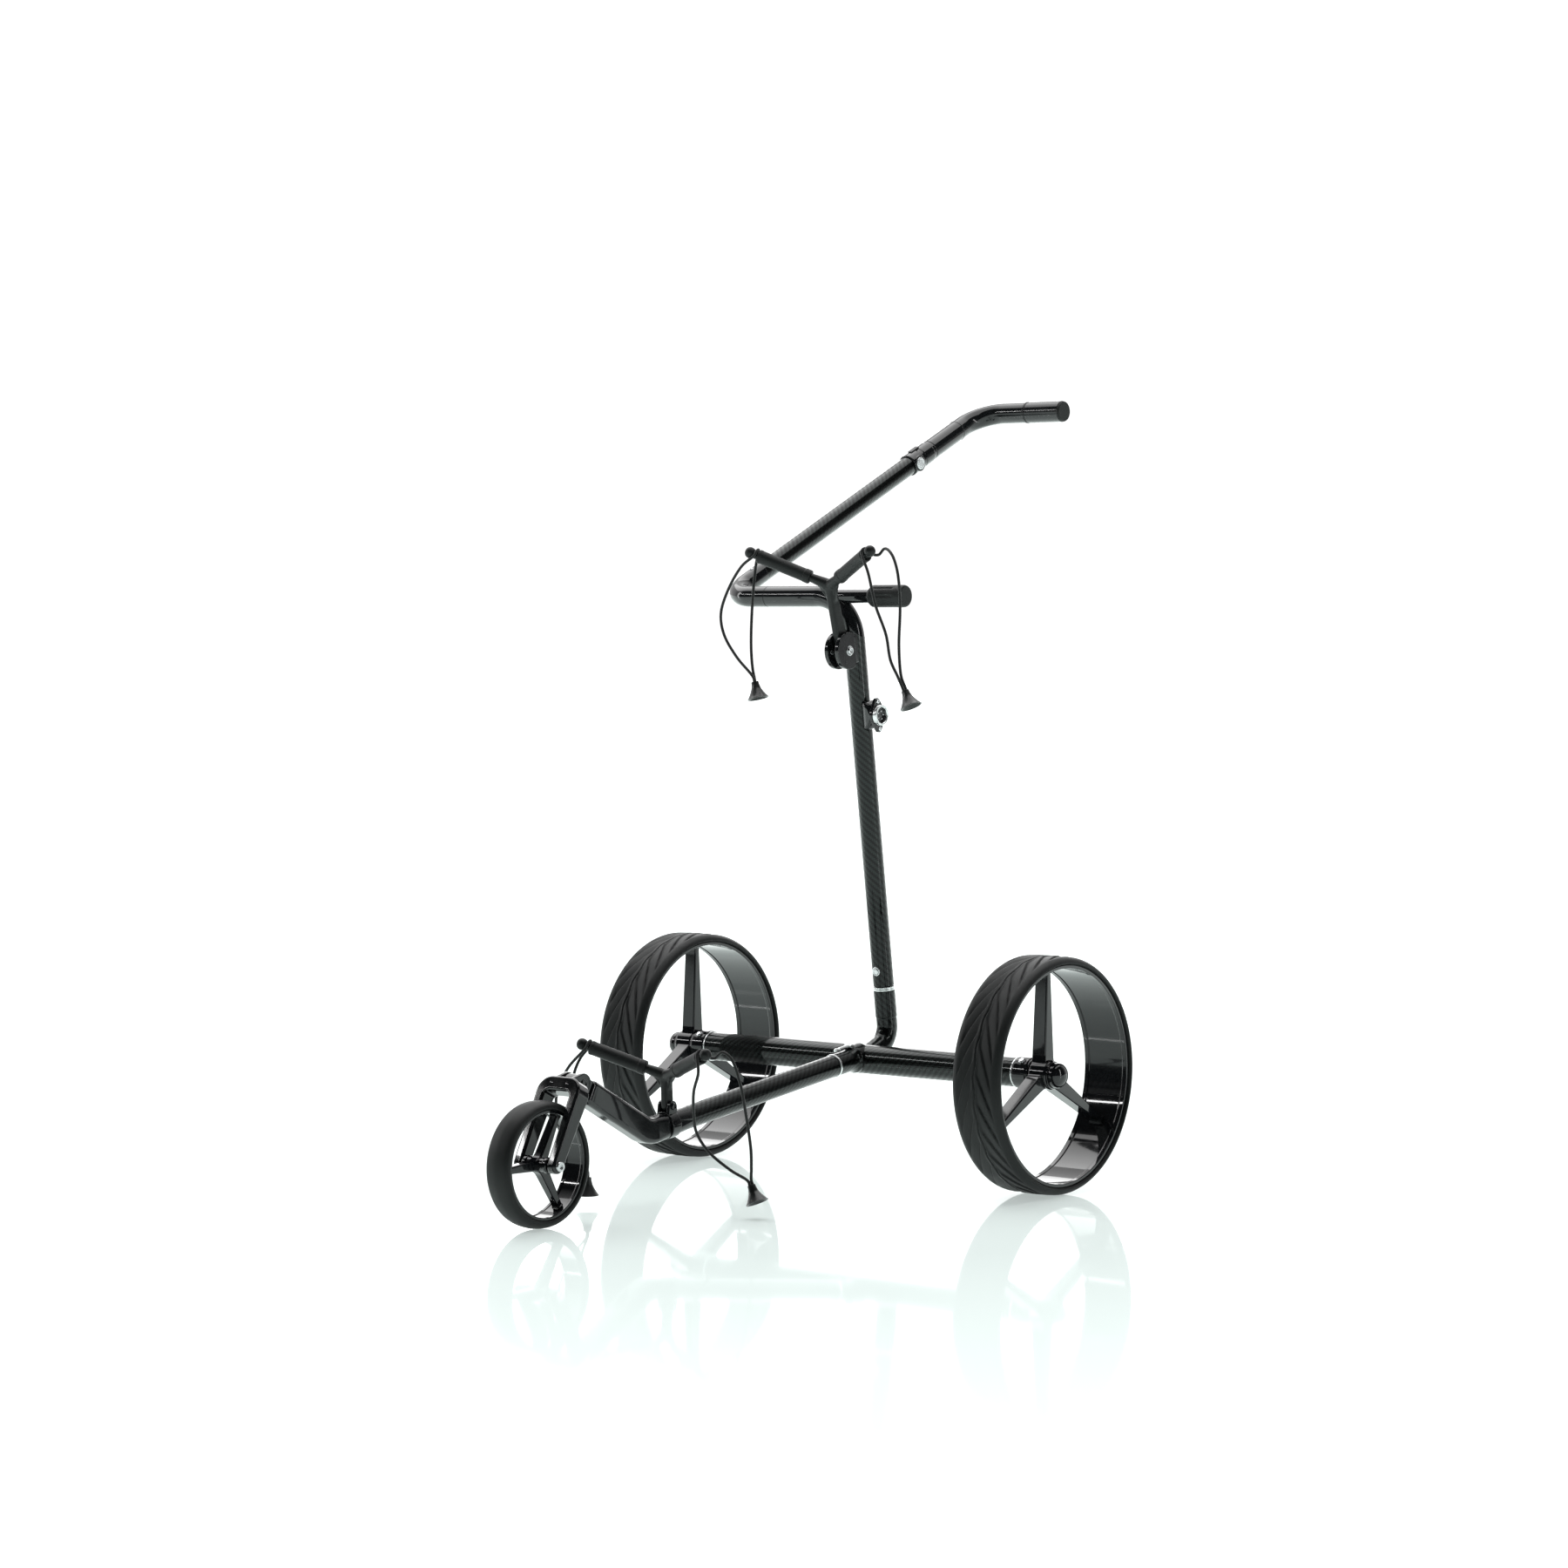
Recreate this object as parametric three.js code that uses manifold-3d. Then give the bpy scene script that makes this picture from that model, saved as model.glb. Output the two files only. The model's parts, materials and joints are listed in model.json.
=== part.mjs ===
// Three-wheel folding push cart with a Z-shaped handle.
// Millimetres, +Z up, +X to the cart's left side, -Y towards the front wheel.
import * as THREE from 'three';
import { mergeVertices } from 'three/addons/utils/BufferGeometryUtils.js';
import Module from 'manifold-3d';

const wasm = await Module();
wasm.setup();

// ---------------------------------------------------------------- driving dimensions
const CLEAR = 0.3;                 // gap between neighbouring pieces

// Rear axle and wheels
const AXLE_Z = 140;                // height of the rear axle
const AXLE_R = 17.5;               // axle tube outer radius
const AXLE_HALF = 234.8;           // half length of the axle tube
const WHEEL_X = 271.8;             // rear wheel centre plane
const REAR_R = 140;                // rear tyre radius
const REAR_TYRE_HALF = 33.7;       // half width of the rear tyre
const REAR_OPENING_R = 126.2;      // inner radius of the thin rim
const REAR_RIM_HALF = 30.3;        // half width of the rim
const RIM_WALL = 2.4;              // rim wall
const HUB_R = 17.5;                // rear hub radius
const HUB_IN = -12;                // hub, inboard end from the wheel plane
const HUB_OUT = 15;                // hub, outboard end from the wheel plane
const STUB_R = 6;                  // stub axle radius

// Front wheel and fork
const FRONT_Y = -579.7;
const FRONT_R = 71.1;
const FRONT_TYRE_HALF = 17;
const FRONT_OPENING_R = 57.8;
const FORK_OUT = 31;               // half width over the fork legs
const FORK_IN = 19;                // half width between the fork legs
const FORK_RAKE = 0.49;            // lean of the legs from upright, radians
const FORK_PIVOT = [-520, 156];    // hinge axis of the fork (Y, Z)

// Keel
const KEEL_R = 13.25;
const KEEL_FLAT = [11.5, 14.5];    // half width and half depth of the front part
const KEEL_LINE = [                // corners of the keel's centre line (Y, Z)
  [-57.7, 135.7], [-399, 89.5], [-503, 145.4],
];

const SOCKET = { outer: 13.5, bore: 10.3, end: -54, floor: -19.5, spigotR: 10, spigotEnd: -21.5 };

// Mast
const FOOT = { top: 188, collar: 221, button: 246, spigot: 285, spigotR: 9.8 };
const MAST_R = 12.8;               // mast and cross tube radius
const MAST_TOP_Y = -21.9;          // axis of the cross tube
const MAST_TOP_Z = 700.8;
const MAST_LEAN = 0.1385;          // forward travel per unit of height
const MAST_BEND = 50;              // centre line radius of the top bend
const CROSS_END = -126.7;          // end of the cross tube
const ROD_R = 8.3;                 // release rod radius
const KNOB = [31, 84];             // release knob, along X

// Handle
const ARM_X = -192;                // plane of the slanting handle tube
const ARM_TOP = [496.9, 944.6];    // upper corner (Y, Z)
const ARM_BEND = 36;
const ARM_R = 12.3;
const GRIP_BEND = 42;
const UPPER_R = 13.4;              // upper tube, outer radius
const COLLAR_R = 14;
const STATION = {                  // places along the slanting tube, by Y
  elbowEnd: 40, collar: 342, button: 350, collarEnd: 388, armEnd: 402, seam: 446, bore: 457,
};
const GRIP_X = { ring: -113, grip: -109.4, cap: -56 };

// Cradles
const UPPER_PIVOT = [-37.5, 635.4];
const UPPER_JOINT = [0, -61.8, 713.7];
const UPPER_TIP = [92, -102, 753.5];
const LOWER_PIVOT = [-361.5, 116];
const LOWER_JOINT = [0, -362.9, 150.6];
const LOWER_TIP = [94, -404, 184.7];
const ROD_ARM_R = 5;               // cradle arm radius
const SLEEVE_R = 8.5;
const SLEEVE = [26, 96];           // rubber sleeve along the arm
const NECK = 99;                   // where the cord passes round the arm
const BALL = 107;                  // ball end along the arm
const CORD_R = 1.75;
const CONE = { height: 21, base: 13.5, top: 4.6, wall: 2, hole: 3.95 };

// ---------------------------------------------------------------- materials
const FINISH = {
  carbon: { color: 0x1b1c20, metalness: 0.2, roughness: 0.28 },
  gloss: { color: 0x0c0d0f, metalness: 0.1, roughness: 0.18 },
  rubber: { color: 0x1d1d1e, metalness: 0, roughness: 0.85 },
  silver: { color: 0xc9ccd0, metalness: 0.95, roughness: 0.25 },
  white: { color: 0xe4e6e8, metalness: 0.1, roughness: 0.35 },
  cord: { color: 0x141414, metalness: 0, roughness: 0.8 },
};

const cart = new THREE.Group();
cart.name = 'push_cart';

function add(name, finish, geometry) {
  const mesh = new THREE.Mesh(geometry, new THREE.MeshStandardMaterial({ ...FINISH[finish] }));
  mesh.name = name;
  cart.add(mesh);
  return mesh;
}

// ---------------------------------------------------------------- geometry helpers
const vec = (x, y, z) => new THREE.Vector3(x, y, z);

// Positions only, shared corners joined, collapsed triangles dropped and all faces pointing out.
function tidy(geometry) {
  const bare = new THREE.BufferGeometry();
  bare.setAttribute('position', geometry.getAttribute('position').clone());
  if (geometry.index) bare.setIndex(geometry.index.clone());
  const merged = mergeVertices(bare, 1e-4);
  const place = merged.getAttribute('position');
  const corner = (i) => vec(0, 0, 0).fromBufferAttribute(place, i);
  const old = merged.index.array;
  const faces = [];
  let volume = 0;
  for (let i = 0; i < old.length; i += 3) {
    const [a, b, c] = old.subarray(i, i + 3);
    if (a !== b && b !== c && c !== a) {
      faces.push(a, b, c);
      volume += corner(a).dot(corner(b).cross(corner(c)));
    }
  }
  if (volume < 0) {
    for (let i = 0; i < faces.length; i += 3) [faces[i + 1], faces[i + 2]] = [faces[i + 2], faces[i + 1]];
  }
  merged.setIndex(faces);
  merged.computeVertexNormals();
  return merged;
}

function toManifold(geometry) {
  const clean = tidy(geometry);
  return new wasm.Manifold(new wasm.Mesh({
    numProp: 3,
    vertProperties: new Float32Array(clean.getAttribute('position').array),
    triVerts: new Uint32Array(clean.index.array),
  }));
}

function fromManifold(manifold) {
  const mesh = manifold.getMesh();
  const geometry = new THREE.BufferGeometry();
  geometry.setAttribute('position', new THREE.BufferAttribute(new Float32Array(mesh.vertProperties), 3));
  geometry.setIndex(new THREE.BufferAttribute(new Uint32Array(mesh.triVerts), 1));
  geometry.computeVertexNormals();
  return geometry;
}

const union = (...parts) => fromManifold(parts.map(toManifold).reduce((a, b) => a.add(b)));
const cut = (base, ...tools) => fromManifold(tools.map(toManifold).reduce((a, b) => a.subtract(b), toManifold(base)));

// Turned piece: profile of [radius, height] pairs about Z. It starts and ends on the axis, or it
// closes on itself.
function turned(profile, segments) {
  const points = profile.map(([r, h]) => new THREE.Vector2(r, h));
  if (profile[0][0] > 0) points.push(points[0].clone());
  return tidy(new THREE.LatheGeometry(points, segments).rotateX(Math.PI / 2));
}

// Places a piece turned about Z so that its axis runs from `from` in direction `along`.
function place(geometry, from, along) {
  const turn = new THREE.Quaternion().setFromUnitVectors(vec(0, 0, 1), along.clone().normalize());
  return geometry.clone().applyQuaternion(turn).translate(from.x, from.y, from.z);
}

// Box with its own axes: sizes run along u, v and the direction square to both.
function placeBlock(centre, u, v, sizeU, sizeV, sizeW) {
  return new THREE.BoxGeometry(sizeU, sizeV, sizeW)
    .applyMatrix4(new THREE.Matrix4().makeBasis(u, v, vec(0, 0, 0).crossVectors(u, v)))
    .translate(centre.x, centre.y, centre.z);
}

const rod = (from, to, radius, segments = 12) => {
  const length = from.distanceTo(to);
  return place(turned([[0, 0], [radius, 0], [radius, length], [0, length]], segments), from, to.clone().sub(from));
};

const pipe = (from, to, outer, inner, segments = 16) => {
  const length = from.distanceTo(to);
  const profile = [[inner, 0], [outer, 0], [outer, length], [inner, length]];
  return place(turned(profile, segments), from, to.clone().sub(from));
};

// Path through corner points with an arc of the given radius at each inner corner. Its points
// are the ends of the straights and the steps of the arcs.
class BentPath extends THREE.Curve {
  constructor(corners, radius, steps) {
    super();
    this.stops = [corners[0].clone()];
    for (let i = 1; i < corners.length - 1; i++) {
      const into = corners[i].clone().sub(corners[i - 1]).normalize();
      const out = corners[i + 1].clone().sub(corners[i]).normalize();
      const angle = into.angleTo(out);
      const side = out.clone().addScaledVector(into, -into.dot(out)).normalize();
      const start = corners[i].clone().addScaledVector(into, -radius * Math.tan(angle / 2));
      for (let k = 0; k <= steps; k++) {
        const a = (angle * k) / steps;
        this.stops.push(start.clone()
          .addScaledVector(into, radius * Math.sin(a))
          .addScaledVector(side, radius * (1 - Math.cos(a))));
      }
    }
    this.stops.push(corners[corners.length - 1].clone());
    this.steps = this.stops.length - 1;
  }

  getSpacedPoints() {
    return this.stops.map((p) => p.clone());
  }

  getTangentAt(u, target = new THREE.Vector3()) {
    const i = Math.round(u * this.steps);
    target.set(0, 0, 0);
    for (const k of [i - 1, i]) {
      if (k >= 0 && k < this.steps) target.add(this.stops[k + 1].clone().sub(this.stops[k]).normalize());
    }
    return target.normalize();
  }
}

// A cord's curve, stepped evenly between its control points.
class CordPath extends THREE.CatmullRomCurve3 {
  getSpacedPoints(count) {
    return this.getPoints(count);
  }

  getTangentAt(u, target) {
    return this.getTangent(u, target);
  }
}

// Solid of an elliptic section swept along a path. On a path in the YZ plane the first half size
// is the one along X.
function swept(path, halfA, halfB, sides, steps = path.steps) {
  const section = new THREE.Shape();
  section.absellipse(0, 0, halfA, halfB, 0, Math.PI * 2);
  const outline = new THREE.Shape(section.getSpacedPoints(sides).slice(0, sides));
  return tidy(new THREE.ExtrudeGeometry(outline, { steps, bevelEnabled: false, extrudePath: path }));
}

// Flat plate: a closed outline of [u, v] pairs given thickness along w. `toWorld` places (u, v, w).
function plate(outline, thickness, toWorld) {
  const shape = new THREE.Shape(outline.map(([u, v]) => new THREE.Vector2(u, v)));
  const origin = toWorld(0, 0, 0);
  const [u, v, w] = [[1, 0, 0], [0, 1, 0], [0, 0, 1]].map((unit) => toWorld(...unit).sub(origin));
  const stand = new THREE.Matrix4().makeBasis(u, v, w).setPosition(origin);
  return tidy(new THREE.ExtrudeGeometry(shape, { depth: thickness, bevelEnabled: false }).applyMatrix4(stand));
}

// Outline of two discs joined by their tangents, from [0, 0] with radius r0 to [0, length] with r1.
function capsule(r0, r1, length, steps = 5) {
  const lean = Math.asin((r0 - r1) / length);
  const outline = [];
  for (let k = 0; k <= steps; k++) {
    const a = Math.PI + lean * -1 + ((Math.PI + 2 * lean) * k) / steps;
    outline.push([r0 * Math.cos(a), r0 * Math.sin(a)]);
  }
  for (let k = 0; k <= steps; k++) {
    const a = lean + ((Math.PI - 2 * lean) * k) / steps;
    outline.push([r1 * Math.cos(a), length + r1 * Math.sin(a)]);
  }
  return outline;
}

// ---------------------------------------------------------------- rear axle
const sides = [['left', 1], ['right', -1]];
const axleAt = (x) => vec(x, 0, AXLE_Z);
const mastY = (z) => MAST_TOP_Y + MAST_LEAN * (MAST_TOP_Z - z);
const mastAt = (z) => vec(0, mastY(z), z);
const mastUp = mastAt(1).sub(mastAt(0)).normalize();

const axleBore = (s) => rod(axleAt(s * (AXLE_HALF - 60)), axleAt(s * (AXLE_HALF + 1)), STUB_R + CLEAR, 16);
add('axle_tube', 'carbon', cut(
  rod(axleAt(-AXLE_HALF), axleAt(AXLE_HALF), AXLE_R, 20), axleBore(1), axleBore(-1),
));

const BUTTON_X = 248;              // snap button on each sleeve
const BUTTON_TILT = vec(0, -0.62, 0.785);
for (const [side, s] of sides) {
  add(`axle_ring_${side}`, 'silver',
    pipe(axleAt(s * (AXLE_HALF + CLEAR)), axleAt(s * 237.2), AXLE_R + 1, STUB_R + CLEAR, 20));
  const buttonAt = axleAt(s * BUTTON_X);
  const sleeve = pipe(axleAt(s * (237.2 + CLEAR)), axleAt(s * 259.4), AXLE_R + 1.6, STUB_R + CLEAR, 20);
  const pocket = rod(buttonAt.clone().addScaledVector(BUTTON_TILT, 11), buttonAt.clone().addScaledVector(BUTTON_TILT, 25),
    4 + CLEAR, 14);
  add(`axle_sleeve_${side}`, 'gloss', cut(sleeve, pocket));
  const button = turned([[0, 0], [4, 0], [4, 6.6], [3, 7.6], [0, 8]], 12);
  add(`wheel_button_${side}`, 'silver', place(button, buttonAt.clone().addScaledVector(BUTTON_TILT, 13.6), BUTTON_TILT));
}

// ---------------------------------------------------------------- rear wheels
// Profiles are [radius, offset from the wheel plane].
const rimOuter = REAR_OPENING_R + RIM_WALL;
function rearTyre() {
  const half = REAR_TYRE_HALF;
  const bead = REAR_RIM_HALF - 1;
  const right = [
    [rimOuter + CLEAR, bead - 1], [rimOuter + 2.1, bead - 0.9],
    [rimOuter + 4.5, half], [REAR_R - 4.5, half - 0.6], [REAR_R - 2, half - 5], [REAR_R, half - 14],
  ];
  const left = right.map(([r, h]) => [r, -h]).reverse();
  return turned([...right, ...left], 36);
}

function spoke(inner, outer, wide, narrow, near, far) {
  const outline = [[-wide / 2, inner], [wide / 2, inner], [narrow / 2, outer], [-narrow / 2, outer]];
  return plate(outline, far - near, (u, v, w) => vec(u, v, near + w));
}

function spokedRim(opening, wall, half, lip, hub, spokeSize, segments) {
  const edge = 1.6;
  const barrel = turned([
    [opening, -half], [opening + wall + lip, -half], [opening + wall + lip, -half + edge],
    [opening + wall, -half + edge], [opening + wall, half - edge],
    [opening + wall + lip, half - edge], [opening + wall + lip, half], [opening, half],
  ], segments);
  const core = turned([[0, hub.near], [hub.r, hub.near], [hub.r, hub.far], [0, hub.far]], 12);
  const spokes = [0, 1, 2].map((k) => spoke(hub.r * 0.5, opening + wall * 0.5, ...spokeSize)
    .rotateZ((k * 2 * Math.PI) / 3));
  const bore = turned([[0, hub.near - 1], [hub.bore, hub.near - 1], [hub.bore, hub.far + 1], [0, hub.far + 1]], 12);
  return cut(union(barrel, core, ...spokes), bore);
}

// Wheel pieces are made about Z; this stands one up on the axle with Z pointing outboard.
function onAxle(geometry, s, x, y, z) {
  const upright = new THREE.Matrix4().makeBasis(vec(0, s, 0), vec(0, 0, 1), vec(s, 0, 0));
  return geometry.applyMatrix4(upright).translate(s * x, y, z);
}

for (const [side, s] of sides) {
  add(`stub_axle_${side}`, 'silver', onAxle(turned([
    [0, -90], [STUB_R - 1, -90], [STUB_R, -89], [STUB_R, HUB_IN - CLEAR], [STUB_R, HUB_OUT - 2],
    [STUB_R + 3, HUB_OUT - 2], [STUB_R + 3, HUB_OUT + 3], [0, HUB_OUT + 3],
  ], 12), s, WHEEL_X, 0, AXLE_Z));
  const hub = { r: HUB_R, near: HUB_IN, far: HUB_OUT, bore: STUB_R + CLEAR };
  const rim = spokedRim(REAR_OPENING_R, RIM_WALL, REAR_RIM_HALF, 1.4, hub, [19, 6, -12, 8], 36);
  const recess = turned([[0, HUB_OUT - 2 - CLEAR], [STUB_R + 3 + CLEAR, HUB_OUT - 2 - CLEAR],
    [STUB_R + 3 + CLEAR, HUB_OUT + 1], [0, HUB_OUT + 1]], 12);
  add(`rear_rim_${side}`, 'gloss', onAxle(cut(rim, recess), s, WHEEL_X, 0, AXLE_Z));
  add(`rear_tyre_${side}`, 'rubber', onAxle(rearTyre(), s, WHEEL_X, 0, AXLE_Z));
  const capBase = HUB_OUT + CLEAR;
  add(`hub_cap_${side}`, 'gloss', onAxle(turned([
    [0, capBase + 15], [4, capBase + 14.6], [9.5, capBase + 12.8], [13.5, capBase + 9],
    [14.8, capBase + 4], [14.5, capBase], [10.3, capBase], [10.3, capBase + 4], [0, capBase + 4],
  ], 12), s, WHEEL_X, 0, AXLE_Z));
}

// ---------------------------------------------------------------- keel socket and mast foot
const inPlane = ([y, z], x = 0) => vec(x, y, z);
const keelBack = inPlane(KEEL_LINE[0]);
const keelDown = inPlane(KEEL_LINE[1]).sub(keelBack).normalize();
const keelAt = (y) => keelBack.clone().addScaledVector(keelDown, (y - keelBack.y) / keelDown.y);
const axleClear = rod(axleAt(-60), axleAt(60), AXLE_R + 0.2, 20);

add('keel_socket', 'carbon', cut(
  rod(keelAt(-8), keelAt(SOCKET.end), SOCKET.outer, 14),
  rod(keelAt(SOCKET.floor), keelAt(SOCKET.end - 5), SOCKET.bore, 14),
  axleClear,
));
add('keel_ring', 'silver', pipe(keelAt(SOCKET.end - CLEAR), keelAt(SOCKET.end - 3.3), SOCKET.outer + 0.7, SOCKET.bore));

// The latch pin lies on the socket and lifts about its rear end.
const latchTop = vec(0, -keelDown.z, keelDown.y).multiplyScalar(-1).normalize();
const latchAt = (y, up) => keelAt(y).addScaledVector(latchTop, up);
const latchUp = SOCKET.outer + 3.6;
add('keel_latch', 'silver', union(
  rod(latchAt(-21, latchUp), latchAt(-50, latchUp), 2.4, 12),
  rod(latchAt(-23, latchUp).setX(-5.5), latchAt(-23, latchUp).setX(5.5), 2.7, 12),
));

const footLine = new BentPath([vec(0, 5, 140), vec(0, 53, 160), mastAt(FOOT.top)], 26, 5);
const spigot = rod(mastAt(FOOT.top - 6), mastAt(FOOT.spigot), FOOT.spigotR, 12);
const mastFront = vec(0, -mastUp.z, mastUp.y);
const slotMid = mastAt((FOOT.button + FOOT.spigot) / 2 + 2).addScaledVector(mastFront, FOOT.spigotR);
const slotLong = FOOT.spigot - FOOT.button + 14;
const spigotSlot = placeBlock(slotMid, vec(1, 0, 0), mastFront, 9.2, 6, slotLong);
const footCollar = rod(mastAt(FOOT.top - 1), mastAt(FOOT.collar), MAST_R + 0.5, 14);
add('mast_foot', 'carbon', cut(
  union(swept(footLine, MAST_R, MAST_R, 16), footCollar, spigot), axleClear, spigotSlot,
));
const ringLow = mastAt(FOOT.collar + CLEAR);
add('mast_ring', 'silver', place(turned([
  [FOOT.spigotR + CLEAR, 0], [13.9, 0], [13.9, 1.6], [13.1, 1.9], [13.1, 2.6], [13.9, 2.9], [13.9, 4.5],
  [FOOT.spigotR + CLEAR, 4.5],
], 12), ringLow, mastUp));

// ---------------------------------------------------------------- mast
const mastStart = mastAt(FOOT.collar + 5.4);
const mastLine = new BentPath([
  mastStart, vec(0, MAST_TOP_Y, MAST_TOP_Z), vec(CROSS_END, MAST_TOP_Y, MAST_TOP_Z),
], MAST_BEND, 6);
const crossAt = (x) => vec(x, MAST_TOP_Y, MAST_TOP_Z);
const buttonHole = rod(mastAt(FOOT.button), mastAt(FOOT.button).addScaledVector(mastFront, 20), 4 + CLEAR, 12);
add('mast_tube', 'carbon', cut(
  swept(mastLine, MAST_R, MAST_R, 16),
  rod(mastAt(FOOT.collar), mastAt(FOOT.spigot + 2), FOOT.spigotR + CLEAR, 12),
  rod(crossAt(CROSS_END - 5), crossAt(20), ROD_R + CLEAR, 12),
  buttonHole,
));
add('mast_button', 'silver', place(
  turned([[0, 0], [4, 0], [4, 3], [3.2, 3.8], [0, 4.2]], 12),
  mastAt(FOOT.button).addScaledVector(mastFront, FOOT.spigotR + 0.3), mastFront,
));

// Release rod and rubber knob
add('release_rod', 'gloss', rod(crossAt(-136), crossAt(KNOB[0] - CLEAR), ROD_R, 16));
const knobFlats = Array.from({ length: 8 }, (_, k) => {
  const a = (k / 8) * Math.PI * 2;
  return placeBlock(crossAt((KNOB[0] + KNOB[1]) / 2 - 3).add(vec(0, 14.6 * Math.cos(a), 14.6 * Math.sin(a))),
    vec(1, 0, 0), vec(0, -Math.sin(a), Math.cos(a)), 30, 3.4, 5);
});
add('release_knob', 'rubber', cut(place(turned([
  [0, 0], [9, 0], [13.5, 5], [13.5, 50], [12.5, 53], [0, 53],
], 14), crossAt(KNOB[0]), vec(1, 0, 0)), ...knobFlats));

// ---------------------------------------------------------------- accessory socket
// Made with X outboard, Y backward and Z up the mast, then set on the mast's left side.
const SOCKET_Z = 557.7;
const onMast = (geometry) => geometry
  .applyMatrix4(new THREE.Matrix4().makeBasis(vec(1, 0, 0), mastFront.clone().negate(), mastUp))
  .translate(0, mastY(SOCKET_Z), SOCKET_Z);
const outboard = vec(1, 0, 0);
const screwHeights = [['top', 19], ['bottom', -19]];
const socketBase = plate([[2, -9], [12, -13], [24, -13], [24, 13], [12, 13], [2, 9]], 37,
  (u, v, w) => vec(u, v, w - 18.5));
const mastClear = rod(vec(0, 0, -40), vec(0, 0, 40), MAST_R + 0.6, 16);
const screwHoles = screwHeights.map(([, h]) => rod(vec(16, 0, h * 0.82), vec(40, 0, h * 0.82), 1.8, 12));
const flange = [
  rod(vec(23, 0, 0), vec(27.3, 0, 0), 13.6, 16),
  ...screwHeights.map(([, h]) => rod(vec(23, 0, h * 0.82), vec(27.3, 0, h * 0.82), 5.4, 16)),
];
add('socket_base', 'gloss', onMast(cut(union(socketBase, ...flange), mastClear, ...screwHoles)));
for (const [end, h] of screwHeights) {
  add(`socket_screw_${end}`, 'silver', onMast(place(turned([
    [0, 0], [1.5, 0], [1.5, 9.6], [3.4, 9.6], [3.4, 11], [2.2, 12], [0, 12],
  ], 12), vec(18, 0, h * 0.82), outboard)));
}
add('socket_ring', 'silver', onMast(pipe(vec(27.6, 0, 0), vec(31.6, 0, 0), 11.6, 9.4, 16)));
const contacts = [0, 1, 2, 3, 4].map((k) => {
  const a = (k / 5) * Math.PI * 2;
  return rod(vec(29, 5 * Math.cos(a), 5 * Math.sin(a)), vec(31, 5 * Math.cos(a), 5 * Math.sin(a)), 0.9, 6);
});
add('socket_insert', 'gloss', onMast(union(rod(vec(27.6, 0, 0), vec(29.6, 0, 0), 9.1, 14), ...contacts)));

// ---------------------------------------------------------------- handle
const armLow = vec(ARM_X, MAST_TOP_Y, MAST_TOP_Z);
const armHigh = vec(ARM_X, ...ARM_TOP);
const armUp = armHigh.clone().sub(armLow).normalize();
const armAt = (y) => armLow.clone().addScaledVector(armUp, (y - armLow.y) / armUp.y);
const armSide = vec(1, 0, 0);
const armOver = vec(0, -armUp.z, armUp.y);

const elbowLine = new BentPath([crossAt(CROSS_END - CLEAR), armLow, armAt(STATION.elbowEnd)], ARM_BEND, 5);
const slotCentre = armAt(STATION.button).addScaledVector(armSide, ARM_R);
const runSlot = placeBlock(slotCentre.clone().addScaledVector(armUp, 15), armSide, armOver, 6, 10, 120);
add('handle_lower_tube', 'carbon', cut(
  union(swept(elbowLine, MAST_R, MAST_R, 16), rod(armAt(STATION.elbowEnd - 1), armAt(STATION.armEnd), ARM_R, 14)),
  rod(crossAt(CROSS_END + 1), crossAt(CROSS_END - 12), ROD_R + CLEAR, 12),
  runSlot,
));

const collarLong = armAt(STATION.collar).distanceTo(armAt(STATION.collarEnd));
const armBore = rod(armAt(STATION.collar - 5), armAt(STATION.bore), ARM_R + CLEAR, 14);
const buttonBore = rod(armAt(STATION.button), armAt(STATION.button).addScaledVector(armSide, 24), 8.3, 14);
add('handle_collar', 'gloss', cut(
  place(turned([
    [0, 0], [COLLAR_R - 1, 0], [COLLAR_R, 1.5], [COLLAR_R, 5], [COLLAR_R - 0.7, 6],
    [COLLAR_R - 0.7, collarLong - 1.5], [COLLAR_R - 1.3, collarLong], [0, collarLong],
  ], 12), armAt(STATION.collar), armUp),
  armBore, buttonBore,
));
const buttonFrom = armAt(STATION.button).addScaledVector(armSide, 13.4);
add('handle_button', 'white', place(turned([
  [0, 0], [8, 0], [8, 1.8], [7, 2.5], [0, 2.7],
], 14), buttonFrom, armSide));
const upperLine = new BentPath([
  armAt(STATION.collarEnd + CLEAR), armHigh, vec(GRIP_X.ring, ...ARM_TOP),
], GRIP_BEND, 6);
const seam = pipe(armAt(STATION.seam), armAt(STATION.seam).addScaledVector(armUp, 0.8), UPPER_R + 2, UPPER_R - 0.5);
add('handle_upper_tube', 'carbon', cut(swept(upperLine, UPPER_R, UPPER_R, 16), armBore, seam));
const gripAt = (x) => vec(x, ...ARM_TOP);
add('grip_ring', 'silver', rod(gripAt(GRIP_X.ring + CLEAR), gripAt(GRIP_X.grip - CLEAR), UPPER_R + 0.7, 14));
add('grip', 'rubber', rod(gripAt(GRIP_X.grip), gripAt(GRIP_X.cap), 13.8, 14));
add('grip_cap', 'gloss', place(turned([
  [0, 0], [13.2, 0], [13.4, 1.6], [11.6, 3.2], [0, 3.5],
], 12), gripAt(GRIP_X.cap + CLEAR), outboard));

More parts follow.
